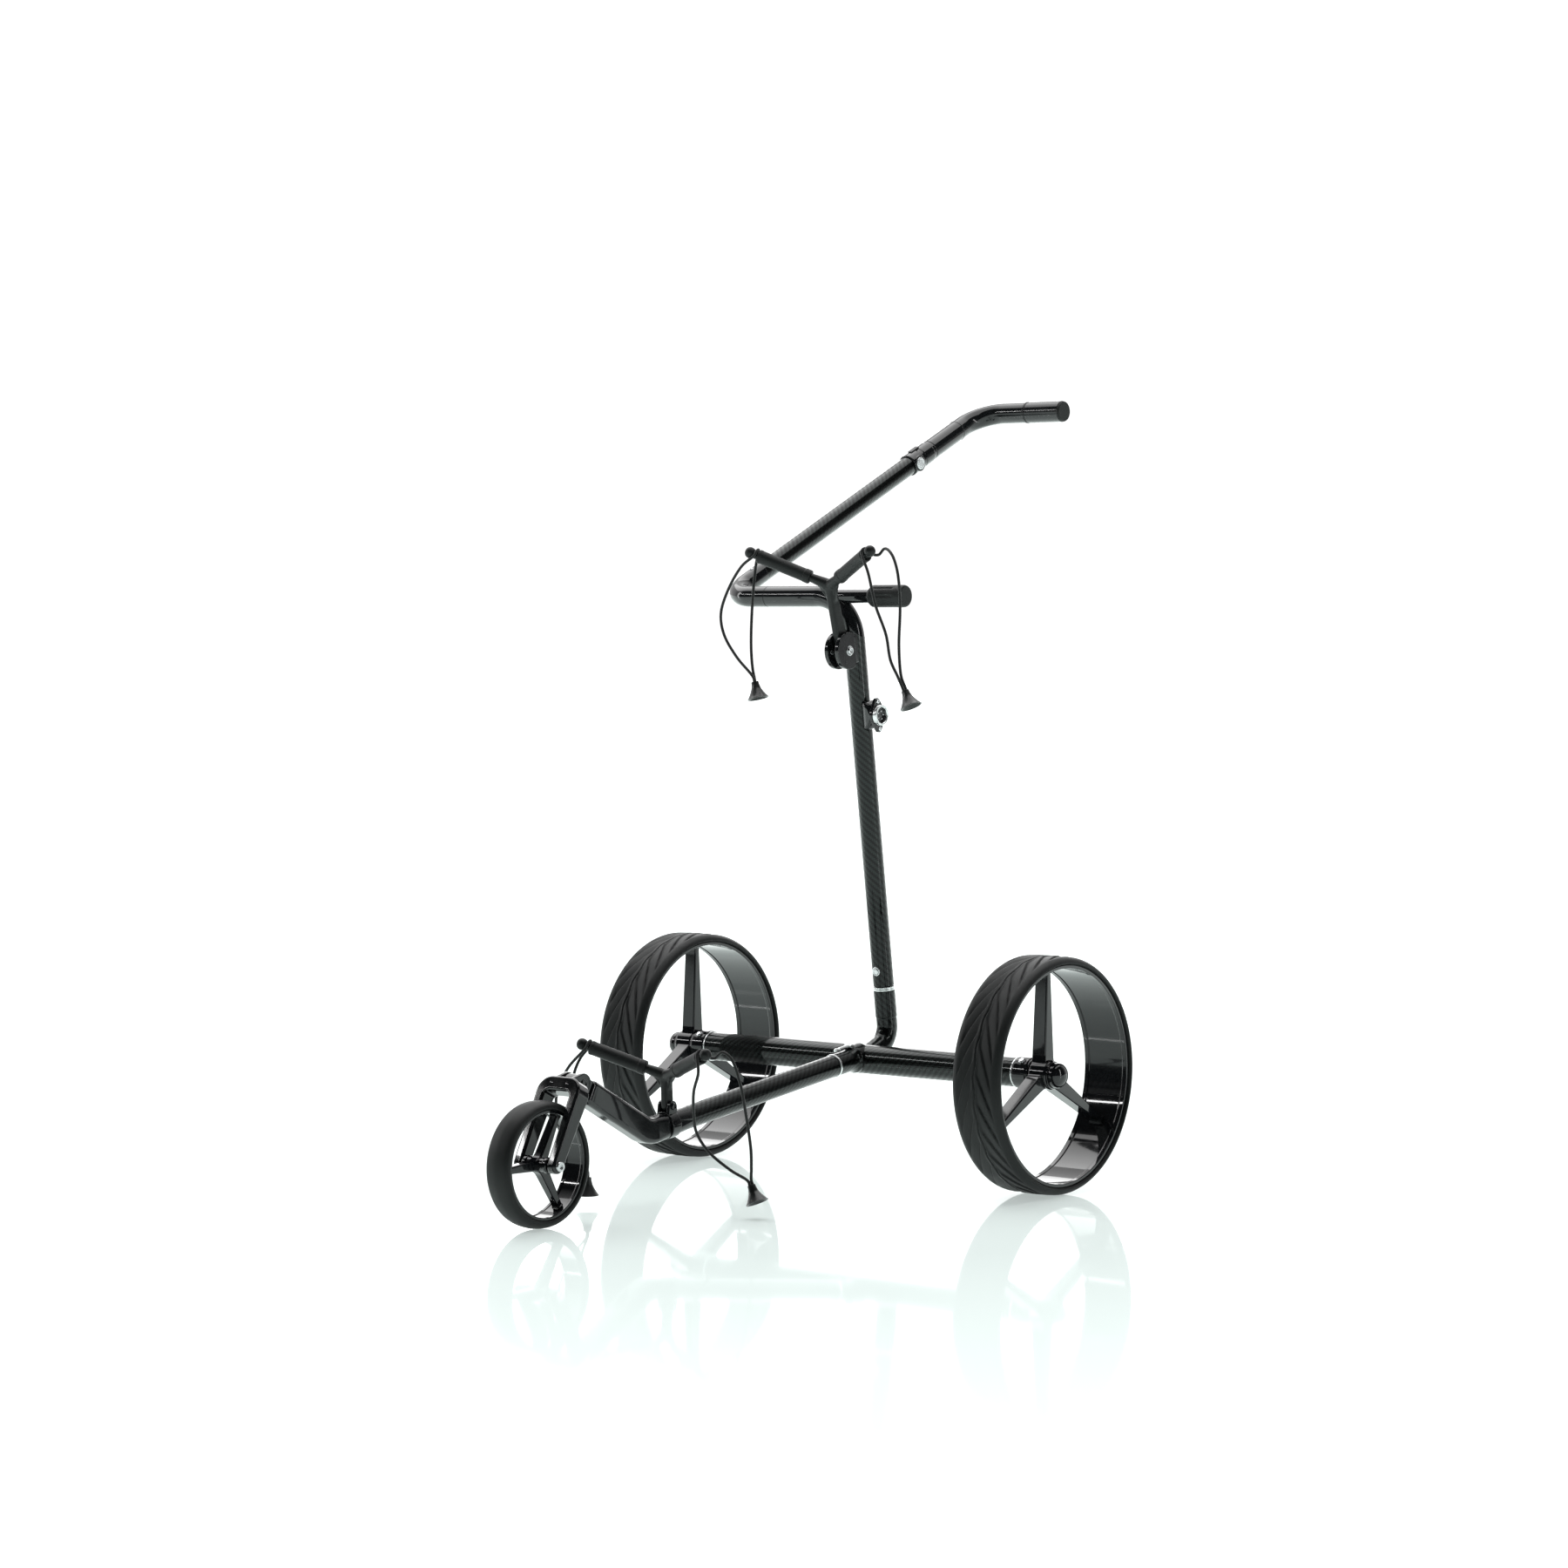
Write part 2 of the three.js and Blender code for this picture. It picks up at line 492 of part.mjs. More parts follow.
// ---------------------------------------------------------------- keel
const keelCorners = KEEL_LINE.map((p) => inPlane(p));
const keelRise = new BentPath([keelAt(-372), ...keelCorners.slice(1)], 34, 4);
const pivot = inPlane(FORK_PIVOT);
const tongueBack = keelCorners[2].clone().add(keelCorners[1].clone().sub(keelCorners[2]).normalize().multiplyScalar(4));
const tongueAhead = pivot.clone().sub(tongueBack);
const tongueLong = tongueAhead.length();
tongueAhead.normalize();
const tongueUp = vec(0, -tongueAhead.z, tongueAhead.y).negate();
const TONGUE_HALF = 8.3;
const tongue = plate(capsule(13, 10.5, tongueLong), TONGUE_HALF * 2, (u, v, w) => tongueBack.clone()
  .addScaledVector(tongueUp, u).addScaledVector(tongueAhead, v).setX(w - TONGUE_HALF));
const pinHole = rod(pivot.clone().setX(-40), pivot.clone().setX(40), 4 + CLEAR, 14);
add('keel_tube', 'carbon', cut(union(
  rod(keelBack, keelAt(-378), KEEL_R, 16),
  swept(keelRise, ...KEEL_FLAT, 16),
  rod(keelAt(SOCKET.spigotEnd), keelAt(KEEL_LINE[0][0] - 4), SOCKET.spigotR, 12),
  tongue,
), pinHole));

// ---------------------------------------------------------------- fork
// Fork plane: v runs up the legs from the front axle, w towards the front.
const frontAxle = vec(0, FRONT_Y, FRONT_R);
const legUp = vec(0, Math.sin(FORK_RAKE), Math.cos(FORK_RAKE));
const legFore = vec(0, -Math.cos(FORK_RAKE), Math.sin(FORK_RAKE));
const onFork = (x, v, w) => frontAxle.clone().addScaledVector(legUp, v).addScaledVector(legFore, w).setX(x);
const FORK_V = { under: 86, top: 103 };
const legOutline = capsule(8.5, 10.8, 92);
const leg = (x) => plate(legOutline, FORK_OUT - FORK_IN, (u, v, w) => onFork(x + w, v, u));
const bridgeHalf = [
  [FORK_IN - 5, FORK_V.under + 2], [FORK_IN - 1, FORK_V.under - 2], [FORK_OUT, FORK_V.under - 2],
  [FORK_OUT, 92], [28.5, 98], [23, 102], [15, FORK_V.top],
];
const bridgeOutline = [...bridgeHalf, ...bridgeHalf.map(([x, v]) => [-x, v]).reverse()];
const bridge = plate(bridgeOutline, 21.6, (x, v, w) => onFork(x, v, w - 10.8));
const pivotOnFork = [
  pivot.clone().sub(frontAxle).dot(legUp),
  pivot.clone().sub(frontAxle).dot(legFore),
];
const lugBack = onFork(0, pivotOnFork[0], pivotOnFork[1]);
const lugAhead = onFork(0, 94, 2).sub(lugBack);
const lugLong = lugAhead.length();
lugAhead.normalize();
const lugUp = vec(0, -lugAhead.z, lugAhead.y).negate();
const lug = (x) => plate(capsule(12, 9, lugLong), 6, (u, v, w) => lugBack.clone()
  .addScaledVector(lugUp, u).addScaledVector(lugAhead, v).setX(x + w));
const axleHole = rod(onFork(-40, 0, 0), onFork(40, 0, 0), 4 + CLEAR, 14);
const tongueRoom = rod(pivot.clone().setX(-TONGUE_HALF - CLEAR), pivot.clone().setX(TONGUE_HALF + CLEAR), 11.4, 14);
const lugFace = TONGUE_HALF + CLEAR + 6;
const pinSeat = rod(pivot.clone().setX(lugFace), pivot.clone().setX(lugFace + 6), 6.2, 12);
add('fork', 'gloss', cut(
  union(leg(FORK_IN), leg(-FORK_OUT), bridge, lug(TONGUE_HALF + CLEAR), lug(-TONGUE_HALF - CLEAR - 6)),
  axleHole, pinHole, tongueRoom, pinSeat,
));
const boltProfile = (head, shaft, long, tall) => [
  [0, -long], [shaft, -long], [shaft, CLEAR], [head, CLEAR], [head, tall - 0.8], [head - 0.8, tall],
  [2, tall], [2, tall - 1.6], [0, tall - 1.6],
];
add('fork_pivot_pin', 'silver', place(turned(boltProfile(5.4, 4, lugFace * 2, 2.6), 12),
  pivot.clone().setX(lugFace), outboard));
add('front_axle_bolt', 'silver', place(turned(boltProfile(6, 4, FORK_OUT * 2, 3.6), 12),
  onFork(FORK_OUT, 0, 0), outboard));

// ---------------------------------------------------------------- front wheel
const frontHub = { r: 9.2, near: -18.3, far: 18.3, bore: 4 + CLEAR };
add('front_rim', 'gloss', onAxle(
  spokedRim(FRONT_OPENING_R, 2.2, 14.4, 1.1, frontHub, [13, 6, -6, 6], 28).rotateZ(-FORK_RAKE),
  1, 0, FRONT_Y, FRONT_R,
));
const frontBead = FRONT_OPENING_R + 2.2;
const frontSide = [
  [frontBead + CLEAR, 12.4], [frontBead + 1.5, 12.5], [frontBead + 1.7, 16], [frontBead + 4, FRONT_TYRE_HALF],
  [FRONT_R - 4, FRONT_TYRE_HALF - 1], [FRONT_R - 1.2, 10],
];
add('front_tyre', 'rubber', onAxle(turned([
  ...frontSide, [FRONT_R, 0], ...frontSide.map(([r, h]) => [r, -h]).reverse(),
], 28).rotateZ(-FORK_RAKE), 1, 0, FRONT_Y, FRONT_R));

// ---------------------------------------------------------------- cradles
function cradle(pivotAt, joint, tip, foot, postHalf, postThick) {
  const base = inPlane(pivotAt);
  const mid = vec(...joint);
  const rise = mid.clone().sub(base);
  const height = rise.length();
  rise.normalize();
  const across = vec(0, -rise.z, rise.y).negate();
  const post = plate(capsule(foot, postHalf, height), postThick * 2, (u, v, w) => base.clone()
    .addScaledVector(across, u).addScaledVector(rise, v).setX(w - postThick));
  const arms = sides.map(([, s]) => {
    const end = vec(s * tip[0], tip[1], tip[2]);
    const arm = [[0, 0], [ROD_ARM_R, 0], [ROD_ARM_R, 102], [6.4, 104.4], [7, BALL], [5.7, 110.6],
      [3, 112.8], [0, 113.4]];
    return place(turned(arm, 10), mid, end.sub(mid));
  });
  const hub = rod(mid.clone().setX(-7), mid.clone().setX(7), 7.4, 12);
  const hole = rod(base.clone().setX(-30), base.clone().setX(30), 3 + CLEAR, 14);
  return cut(union(post, hub, ...arms), hole);
}

function armFrame(joint, tip, s) {
  const from = vec(...joint);
  const along = vec(s * tip[0], tip[1], tip[2]).sub(from).normalize();
  const rear = vec(-along.y * s, along.x * s, 0).normalize();
  const over = vec(0, 0, 1).addScaledVector(along, -along.z).normalize();
  return { from, along, rear, over };
}

const cradles = {
  upper: {
    pivot: UPPER_PIVOT, joint: UPPER_JOINT, tip: UPPER_TIP, foot: 9.4, postHalf: 5.6, postThick: 4.6,
  },
  lower: {
    pivot: LOWER_PIVOT, joint: LOWER_JOINT, tip: LOWER_TIP, foot: 6.5, postHalf: 5.6, postThick: 4.6,
  },
};

// Below the neck each cord hangs in two strands that meet in a pull cone. Points are listed from
// the neck down, for the strand in front of the arm and for the strand behind it.
const cords = {
  upper_left: {
    front: [[95, -110, 728], [106, -110, 690], [121, -109, 655], [127, -108, 625], [137, -107, 606]],
    rear: [
      [96, -91, 749], [103, -89, 756], [118, -95, 750], [129, -98, 730], [134, -99, 690], [134, -101, 640],
      [139, -103, 606],
    ],
    cone: [146, -105, 590], lean: [0.43, 0, -0.9],
  },
  upper_right: {
    front: [[-100, -107, 737], [-122, -108, 706], [-132, -108, 679], [-128, -107, 655], [-110, -105, 628]],
    rear: [[-90, -93, 735], [-93, -96, 685], [-92, -99, 640], [-88, -101, 614]],
    cone: [-83, -103, 598], lean: [0.26, 0, -0.965],
  },
  lower_left: {
    front: [[88, -410, 165], [77, -405, 142], [70, -397, 118], [68, -390, 94], [78, -381, 72], [104, -373, 52]],
    rear: [
      [98, -393, 180], [107, -391, 187], [118, -389, 181], [127, -384, 154], [131, -378, 117], [134, -373, 77],
      [133, -371, 55],
    ],
    cone: [132, -370, 37], lean: [0.42, 0, -0.91],
  },
  lower_right: {
    front: [[-106, -412, 158], [-120, -412, 136], [-128, -410, 115], [-121, -408, 88], [-106, -407, 60]],
    rear: [[-100, -398, 168], [-109, -400, 148], [-111, -401, 118], [-104, -402, 82], [-93, -403, 54]],
    cone: [-84, -405, 31], lean: [0, 0, -1],
  },
};

function cordLoop(frame, { front, rear, cone, lean }) {
  const neck = frame.from.clone().addScaledVector(frame.along, NECK);
  const turn = ROD_ARM_R + CORD_R + CLEAR;
  const around = [];
  for (let k = 0; k <= 6; k++) {
    const a = (k / 6) * Math.PI;
    around.push(neck.clone()
      .addScaledVector(frame.rear, -turn * Math.cos(a))
      .addScaledVector(frame.over, turn * Math.sin(a)));
  }
  const tip = vec(...cone);
  const down = vec(...lean).normalize();
  const apart = frame.rear.clone().addScaledVector(down, -frame.rear.dot(down)).normalize();
  const end = (side, depth) => tip.clone().addScaledVector(down, depth).addScaledVector(apart, side * 2.05);
  const points = [
    end(-1, 5), end(-1, 0), end(-1, -5), ...front.map((q) => vec(...q)).reverse(), ...around,
    ...rear.map((q) => vec(...q)), end(1, -5), end(1, 0), end(1, 5),
  ];
  return swept(new CordPath(points, false, 'centripetal'), CORD_R, CORD_R, 8, (points.length - 1) * 2);
}

function pullCone({ cone, lean }) {
  const { height, base, top, wall, hole } = CONE;
  return place(turned([
    [hole, 0], [top, 0], [top + 1.6, 9], [base, height], [base - wall, height], [hole, 8],
  ], 12), vec(...cone), vec(...lean));
}

for (const [level, c] of Object.entries(cradles)) {
  add(`${level}_cradle`, 'gloss', cradle(c.pivot, c.joint, c.tip, c.foot, c.postHalf, c.postThick));
  for (const [side, s] of sides) {
    const frame = armFrame(c.joint, c.tip, s);
    const at = (d) => frame.from.clone().addScaledVector(frame.along, d);
    add(`${level}_sleeve_${side}`, 'rubber', place(turned([
      [ROD_ARM_R + CLEAR, 0], [SLEEVE_R, 0], [SLEEVE_R, 70],
      [ROD_ARM_R + CLEAR, 70],
    ], 12), at(SLEEVE[0]), frame.along));
    add(`${level}_cord_${side}`, 'cord', cordLoop(frame, cords[`${level}_${side}`]));
    add(`${level}_cone_${side}`, 'gloss', pullCone(cords[`${level}_${side}`]));
  }
}

// Upper clevis: two D-shaped cheeks joined by a saddle on the front of the mast.
const CHEEK = { near: 5.2, far: 10.6, r: 22.5 };
const upperPivot = inPlane(UPPER_PIVOT);
const cheekOutline = [];
for (let k = 0; k <= 24; k++) {
  const a = -0.68 * Math.PI + (1.36 * Math.PI * k) / 24;
  cheekOutline.push([CHEEK.r * Math.cos(a), CHEEK.r * Math.sin(a)]);
}
const cheek = (x) => plate(cheekOutline, CHEEK.far - CHEEK.near, (u, v, w) => upperPivot.clone()
  .addScaledVector(mastFront, u).addScaledVector(mastUp, v).setX(x + w));
const saddle = placeBlock(upperPivot.clone().addScaledVector(mastFront, -13.8), vec(1, 0, 0), mastFront,
  CHEEK.far * 2, 7, 34);
const upperMast = swept(mastLine, MAST_R + 0.35, MAST_R + 0.35, 16);
const pivotHole = rod(upperPivot.clone().setX(-30), upperPivot.clone().setX(30), 3 + CLEAR, 14);
const postRoom = rod(upperPivot.clone().setX(-CHEEK.near), upperPivot.clone().setX(CHEEK.near), 10.8, 12);
const detentAt = upperPivot.clone().addScaledVector(mastFront, 8).addScaledVector(mastUp, -13);
const detent = rod(detentAt.clone().setX(CHEEK.near - 1), detentAt.clone().setX(CHEEK.far + 1), 1.6, 12);
add('upper_clevis', 'gloss', cut(
  union(cheek(CHEEK.near), cheek(-CHEEK.far), saddle), upperMast, pivotHole, postRoom, detent,
));
add('upper_pivot_bolt', 'silver', place(turned(boltProfile(4.6, 3, CHEEK.far * 2, 3), 12),
  upperPivot.clone().setX(CHEEK.far), outboard));

// Lower clevis: a collar round the keel with two small cheeks on top.
const lowerPivot = inPlane(LOWER_PIVOT);
const keelUnder = keelBack.clone().addScaledVector(keelDown, (LOWER_PIVOT[0] - keelBack.y) / keelDown.y);
const lowerBand = pipe(keelUnder.clone().addScaledVector(keelDown, -7), keelUnder.clone().addScaledVector(keelDown, 7),
  KEEL_R + 3, KEEL_R + 0.2, 16);
const smallCheek = (x) => plate(capsule(8, 6.5, 12), 4, (u, v, w) => lowerPivot.clone()
  .add(vec(0, u, v - 12)).setX(x + w));
const keelClear = rod(keelAt(-330), keelAt(-372), KEEL_R + 0.2, 16);
add('lower_clevis', 'gloss', cut(
  union(lowerBand, smallCheek(5.2), smallCheek(-9.2)),
  keelClear,
  rod(lowerPivot.clone().setX(-30), lowerPivot.clone().setX(30), 3 + CLEAR, 14),
  rod(lowerPivot.clone().setX(-5.2), lowerPivot.clone().setX(5.2), 7.2, 16),
));
add('lower_pivot_bolt', 'silver', place(turned(boltProfile(4.2, 3, 18.4, 2.4), 12),
  lowerPivot.clone().setX(9.2), outboard));

// ---------------------------------------------------------------- origin
// The origin is under the middle of the cart's box, cords and cones left out.
const box = new THREE.Box3();
for (const mesh of cart.children) {
  if (!/_(cord|cone)_/.test(mesh.name)) {
    mesh.geometry.computeBoundingBox();
    box.union(mesh.geometry.boundingBox);
  }
}
const middle = box.getCenter(vec(0, 0, 0));
for (const mesh of cart.children) mesh.geometry.translate(-middle.x, -middle.y, -box.min.z);

export default cart;
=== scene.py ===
import json
from math import asin, ceil, cos, pi, radians, sin, sqrt, tan

import bmesh
import bpy
import numpy as np
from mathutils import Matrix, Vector

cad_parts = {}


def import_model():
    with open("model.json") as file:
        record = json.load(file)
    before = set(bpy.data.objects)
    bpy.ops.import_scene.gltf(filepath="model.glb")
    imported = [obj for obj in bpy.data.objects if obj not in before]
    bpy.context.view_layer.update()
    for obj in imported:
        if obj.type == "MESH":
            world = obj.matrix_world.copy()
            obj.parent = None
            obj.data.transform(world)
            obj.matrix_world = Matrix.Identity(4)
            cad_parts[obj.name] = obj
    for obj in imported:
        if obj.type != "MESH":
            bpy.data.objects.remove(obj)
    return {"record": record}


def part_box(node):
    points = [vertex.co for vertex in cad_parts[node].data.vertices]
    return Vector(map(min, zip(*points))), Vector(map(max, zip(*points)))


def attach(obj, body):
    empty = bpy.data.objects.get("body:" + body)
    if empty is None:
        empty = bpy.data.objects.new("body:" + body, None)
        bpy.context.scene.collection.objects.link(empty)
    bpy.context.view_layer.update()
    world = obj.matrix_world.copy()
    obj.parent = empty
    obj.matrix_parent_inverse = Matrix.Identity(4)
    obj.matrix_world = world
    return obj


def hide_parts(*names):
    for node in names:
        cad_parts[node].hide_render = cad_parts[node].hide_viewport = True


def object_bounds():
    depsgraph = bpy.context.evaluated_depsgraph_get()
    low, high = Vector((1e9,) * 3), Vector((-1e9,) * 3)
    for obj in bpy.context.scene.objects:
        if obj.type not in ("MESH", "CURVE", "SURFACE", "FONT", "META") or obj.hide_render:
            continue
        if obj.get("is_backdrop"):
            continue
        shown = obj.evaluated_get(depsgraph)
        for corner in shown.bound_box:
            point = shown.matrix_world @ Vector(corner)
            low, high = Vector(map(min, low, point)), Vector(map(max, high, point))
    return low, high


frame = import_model()
cad_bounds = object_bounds()

# ------------------------------------------------------------------ the cart's own frame
# Lengths are in millimetres: X to the cart's left, Y backward from the rear axle, Z up from the floor.
MM = 0.001
axle_low, axle_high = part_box("axle_tube")
AXLE_Y = (axle_low.y + axle_high.y) / 2 / MM
SIDES = (("left", 1), ("right", -1))
GAP = 0.3  # clearance between neighbouring pieces

RECORD = frame["record"]
BODY_OF = {n: body for body, nodes in RECORD["behaviour"]["bodies"].items() for n in nodes}
SLOT_OF = {part["node"]: part["material_slot"] for part in RECORD["subparts"]}

# Rear axle, rear wheels and the snap buttons that lock them
AXLE_Z, AXLE_R, AXLE_HALF = 140, 17.5, 234.8
WHEEL_X, REAR_R, REAR_TYRE_HALF = 271.8, 140, 33.7
REAR_OPENING_R, REAR_RIM_HALF, RIM_WALL, TREAD_LEAVES = 126.2, 30.3, 2.4, 26
HUB_R, HUB_IN, HUB_OUT, STUB_R = 17.5, -12, 15, 6
STUB_BORE = STUB_R + GAP
SLEEVE_FROM, BUTTON_X, BUTTON_UP = 237.5, 248, Vector((0, -0.62, 0.785)).normalized()

# Front wheel, fork and keel
FRONT_Y, FRONT_R, FRONT_TYRE_HALF, FRONT_OPENING_R = -579.7, 71.1, 17, 57.8
FORK_OUT, FORK_IN, FORK_RAKE = 31, 19, 0.49
FORK_PIVOT = Vector((0, -520, 156))
KEEL_R, KEEL_HALF, KEEL_SMOOTH_Y = 13.25, (11.5, 14.5), -352
KEEL_LINE = [Vector((0, -57.7, 135.7)), Vector((0, -399, 89.5)), Vector((0, -503, 145.4))]

# Mast, its foot and the cross tube at its top
MAST_R, MAST_TOP_Y, MAST_TOP_Z, MAST_LEAN, MAST_SMOOTH_Z = 12.8, -21.9, 700.8, 0.1385, 653
CROSS_END, ROD_FROM, ROD_LONG, ROD_R, KNOB_FROM = -126.7, -136, 166.6, 8.3, 31
FOOT_TOP, FOOT_COLLAR, FOOT_BUTTON, FOOT_SPIGOT, SPIGOT_R = 188, 221, 246, 285, 9.8
SOCKET_Z = 557.7

# Handle: stations along the arm by their Y, along the grip by their X
ARM_X, ARM_TOP = -192, (496.9, 944.6)
ARM_R, UPPER_R, COLLAR_R = 12.3, 13.4, 14
ELBOW_END, COLLAR_FROM, BUTTON_AT, COLLAR_TO, ARM_END, SEAM = 40, 342, 350, 388, 402, 446
GRIP_FROM, GRIP_TO = -109.4, -56

# Cradles, elastic cords and pull cones
CRADLES = {
    "upper": dict(pivot=(0, -37.5, 635.4), joint=(0, -61.8, 713.7), tip=(92, -102, 753.5), foot=9.4),
    "lower": dict(pivot=(0, -361.5, 116), joint=(0, -362.9, 150.6), tip=(94, -404, 184.7), foot=6.5),
}
CRADLE_ROD_R, SLEEVE_R, SLEEVE, NECK, BALL = 5, 8.5, (26, 96), 99, 107
CORD_R, STRAND_OFFSET, SPAN_STEPS, WRAP_STEPS = 1.75, 2.05, 8, 6
CONE_HEIGHT, CONE_BASE, CONE_TOP, CONE_HOLE = 21, 13.5, 4.6, 3.95


def vec(x, y, z):
    return Vector((x, y, z))


def in_frame(point):
    """A point in cart millimetres, in metres of the shared frame."""
    return (point[0] * MM, (point[1] + AXLE_Y) * MM, point[2] * MM)


def clamp(x):
    """The number x, kept between 0 and 1."""
    return min(max(x, 0), 1)


def smooth_step(x):
    """Eases from 0 to 1 while x, a number or an array, goes from 0 to 1."""
    t = np.clip(x, 0, 1)
    return t ** 2 * (3 - 2 * t)


X, Z = vec(1, 0, 0), vec(0, 0, 1)


# ------------------------------------------------------------------ camera
scene = bpy.context.scene
camera_data = bpy.data.cameras.new("camera")
camera_data.lens = 94.62
camera = bpy.data.objects.new("camera", camera_data)
camera.location = (3.0731, -3.8574, 0.6762)
camera.rotation_euler = (radians(87.676), 0, radians(39.126))
scene.collection.objects.link(camera)
scene.camera = camera


# ------------------------------------------------------------------ mesh tools
class Form:
    """A mesh in the making: closed skins of points in cart millimetres, with weave coordinates."""

    def __init__(self):
        self.points, self.faces, self.weave = [], [], []

    def skin(self, rings, loop=False):
        """Joins rings of equal point counts; the ends are capped, or loop joins the last to the first."""
        base, count = len(self.points), len(rings[0])
        self.points += [p for ring in rings for p in ring]
        girth = max(sum((a - b).length for a, b in zip(r, r[1:] + r[:1])) for r in rings)
        last = len(rings) - 1
        steps = [(i, i + 1) for i in range(last)] + ([(last, 0)] if loop else [])
        along = 0
        for i, j in steps:
            stride = sum((a - b).length for a, b in zip(rings[i], rings[j])) / count
            for k in range(count):
                m = (k + 1) % count
                lower, upper = base + i * count, base + j * count
                self.faces.append([lower + k, lower + m, upper + m, upper + k])
                near, far = girth * k / count, girth * (k + 1) / count
                self.weave += [(along, near), (along, far), (along + stride, far), (along + stride, near)]
            along += stride
        if not loop:
            for ring in (0, last):
                first = base + ring * count
                self.faces.append(list(range(first, first + count)))
                self.weave += [(0, 0)] * count
        return self

    def object(self, name):
        """The form as an object whose faces all look outward."""
        mesh = bpy.data.meshes.new(name)
        mesh.from_pydata([in_frame(p) for p in self.points], [], self.faces)
        layer = mesh.uv_layers.new(name="weave")
        layer.data.foreach_set("uv", np.array(self.weave, np.float32).ravel())
        shape = bmesh.new()
        shape.from_mesh(mesh)
        bmesh.ops.recalc_face_normals(shape, faces=shape.faces)
        shape.to_mesh(mesh)
        shape.free()
        made = bpy.data.objects.new(name, mesh)
        scene.collection.objects.link(made)
        return made


def finish(made, cad_node=None, body=None, slot=None, material=None, sharp=32, weighted=True):
    """Gives a piece its body, finish and shading; with a node's name, it takes that CAD node's body and slot
    and hides the node.
    """
    made.data.shade_smooth()
    made.data.set_sharp_from_angle(angle=radians(sharp))
    if weighted:
        normals = made.modifiers.new("even_shading", "WEIGHTED_NORMAL")
        normals.keep_sharp = True
    slot = slot or SLOT_OF[cad_node]
    made.data.materials.clear()
    made.data.materials.append(material or MATERIALS[slot])
    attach(made, body or BODY_OF[cad_node])
    if cad_node:
        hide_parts(cad_node)
    return made


def plain_where(piece, test):
    """Paints gloss black over the weave, on the faces whose centre in cart millimetres passes a test."""
    piece.data.materials.append(MATERIALS["gloss_black"])
    for face in piece.data.polygons:
        x, y, z = face.center / MM
        face.material_index = int(test(x, y - AXLE_Y, z))
    return piece


def soften(outline, radius, closed=True, steps=4):
    """Rounds an outline's corners; a cut keeps to 45 % of the shorter side beside it."""
    rounded = []
    last = len(outline) - 1
    for i, corner in enumerate(outline):
        here = np.array(corner, float)
        before = np.array(outline[i - 1], float) - here
        after = np.array(outline[(i + 1) % len(outline)], float) - here
        sides = np.linalg.norm(before), np.linalg.norm(after)
        reach = min(radius, 0.45 * sides[0], 0.45 * sides[1])
        straight = np.dot(before, after) < -0.985 * sides[0] * sides[1]
        if reach < 0.02 or straight or (not closed and i in (0, last)):
            rounded.append(tuple(here))
            continue
        start = here + before / sides[0] * reach
        end = here + after / sides[1] * reach
        for k in range(steps + 1):
            t = k / steps
            rounded.append(tuple((1 - t) ** 2 * start + 2 * t * (1 - t) * here + t * t * end))
    return rounded


def turned(profile, origin, axis, segments=64, edge=0.5, form=None):
    """A solid of revolution from [radius, height] pairs; it is capped on the axis or closes on itself."""
    solid = profile[0][0] < 1e-6
    rounded = soften(profile, edge, closed=not solid)
    rounded = [p for p in rounded if p[0] > 1e-6]
    stand = Z.rotation_difference(axis)
    angles = [2 * pi * k / segments for k in range(segments)]
    rings = [[origin + stand @ vec(r * cos(a), r * sin(a), h) for a in angles] for r, h in rounded]
    return (form or Form()).skin(rings, loop=not solid)


def lathe(label, cad_node, profile, origin, axis, segments, edge, **looks):
    """One turned solid that is a piece of its own."""
    return finish(turned(profile, origin, axis, segments, edge).object(label), cad_node, **looks)


def bent(corners, radius, turn=radians(4)):
    """A path through the corners, with an arc of that radius at each inner corner."""
    path = [corners[0].copy()]
    for before, corner, after in zip(corners, corners[1:], corners[2:]):
        into = (corner - before).normalized()
        out = (after - corner).normalized()
        angle = into.angle(out)
        side = (out - into * out.dot(into)).normalized()
        start = corner - into * radius * tan(angle / 2)
        steps = max(3, ceil(angle / turn))
        for k in range(steps + 1):
            a = angle * k / steps
            path.append(start + into * radius * sin(a) + side * radius * (1 - cos(a)))
    path.append(corners[-1].copy())
    return path


def rings_along(path, sections, first=X):
    """One ring at each point of a path; a section is a list of (side, up) pairs in millimetres."""
    spans = [(b - a).normalized() for a, b in zip(path, path[1:])]
    side = first
    rings = []
    for i, (place, section) in enumerate(zip(path, sections)):
        tangent = (spans[max(i - 1, 0)] + spans[min(i, len(spans) - 1)]).normalized()
        side = (side - tangent * side.dot(tangent)).normalized()
        up = tangent.cross(side)
        rings.append([place + side * u + up * v for u, v in section])
    return rings


def oval(half_u, half_v, count=56):
    """An ellipse as (side, up) pairs."""
    return [(half_u * cos(2 * pi * k / count), half_v * sin(2 * pi * k / count)) for k in range(count)]


def block(half_u, half_v, corner, count=56):
    """A rounded rectangle with the same number of points as an oval, matched by direction."""
    corner = min(corner, half_u * 0.98, half_v * 0.98)
    quarter = count // 4
    outline = []
    for q, (su, sv) in enumerate(((1, 1), (-1, 1), (-1, -1), (1, -1))):
        for k in range(quarter):
            a = pi / 2 * (q + k / (quarter - 1))
            u = su * (half_u - corner) + corner * cos(a)
            v = sv * (half_v - corner) + corner * sin(a)
            outline.append((u, v))
    return outline


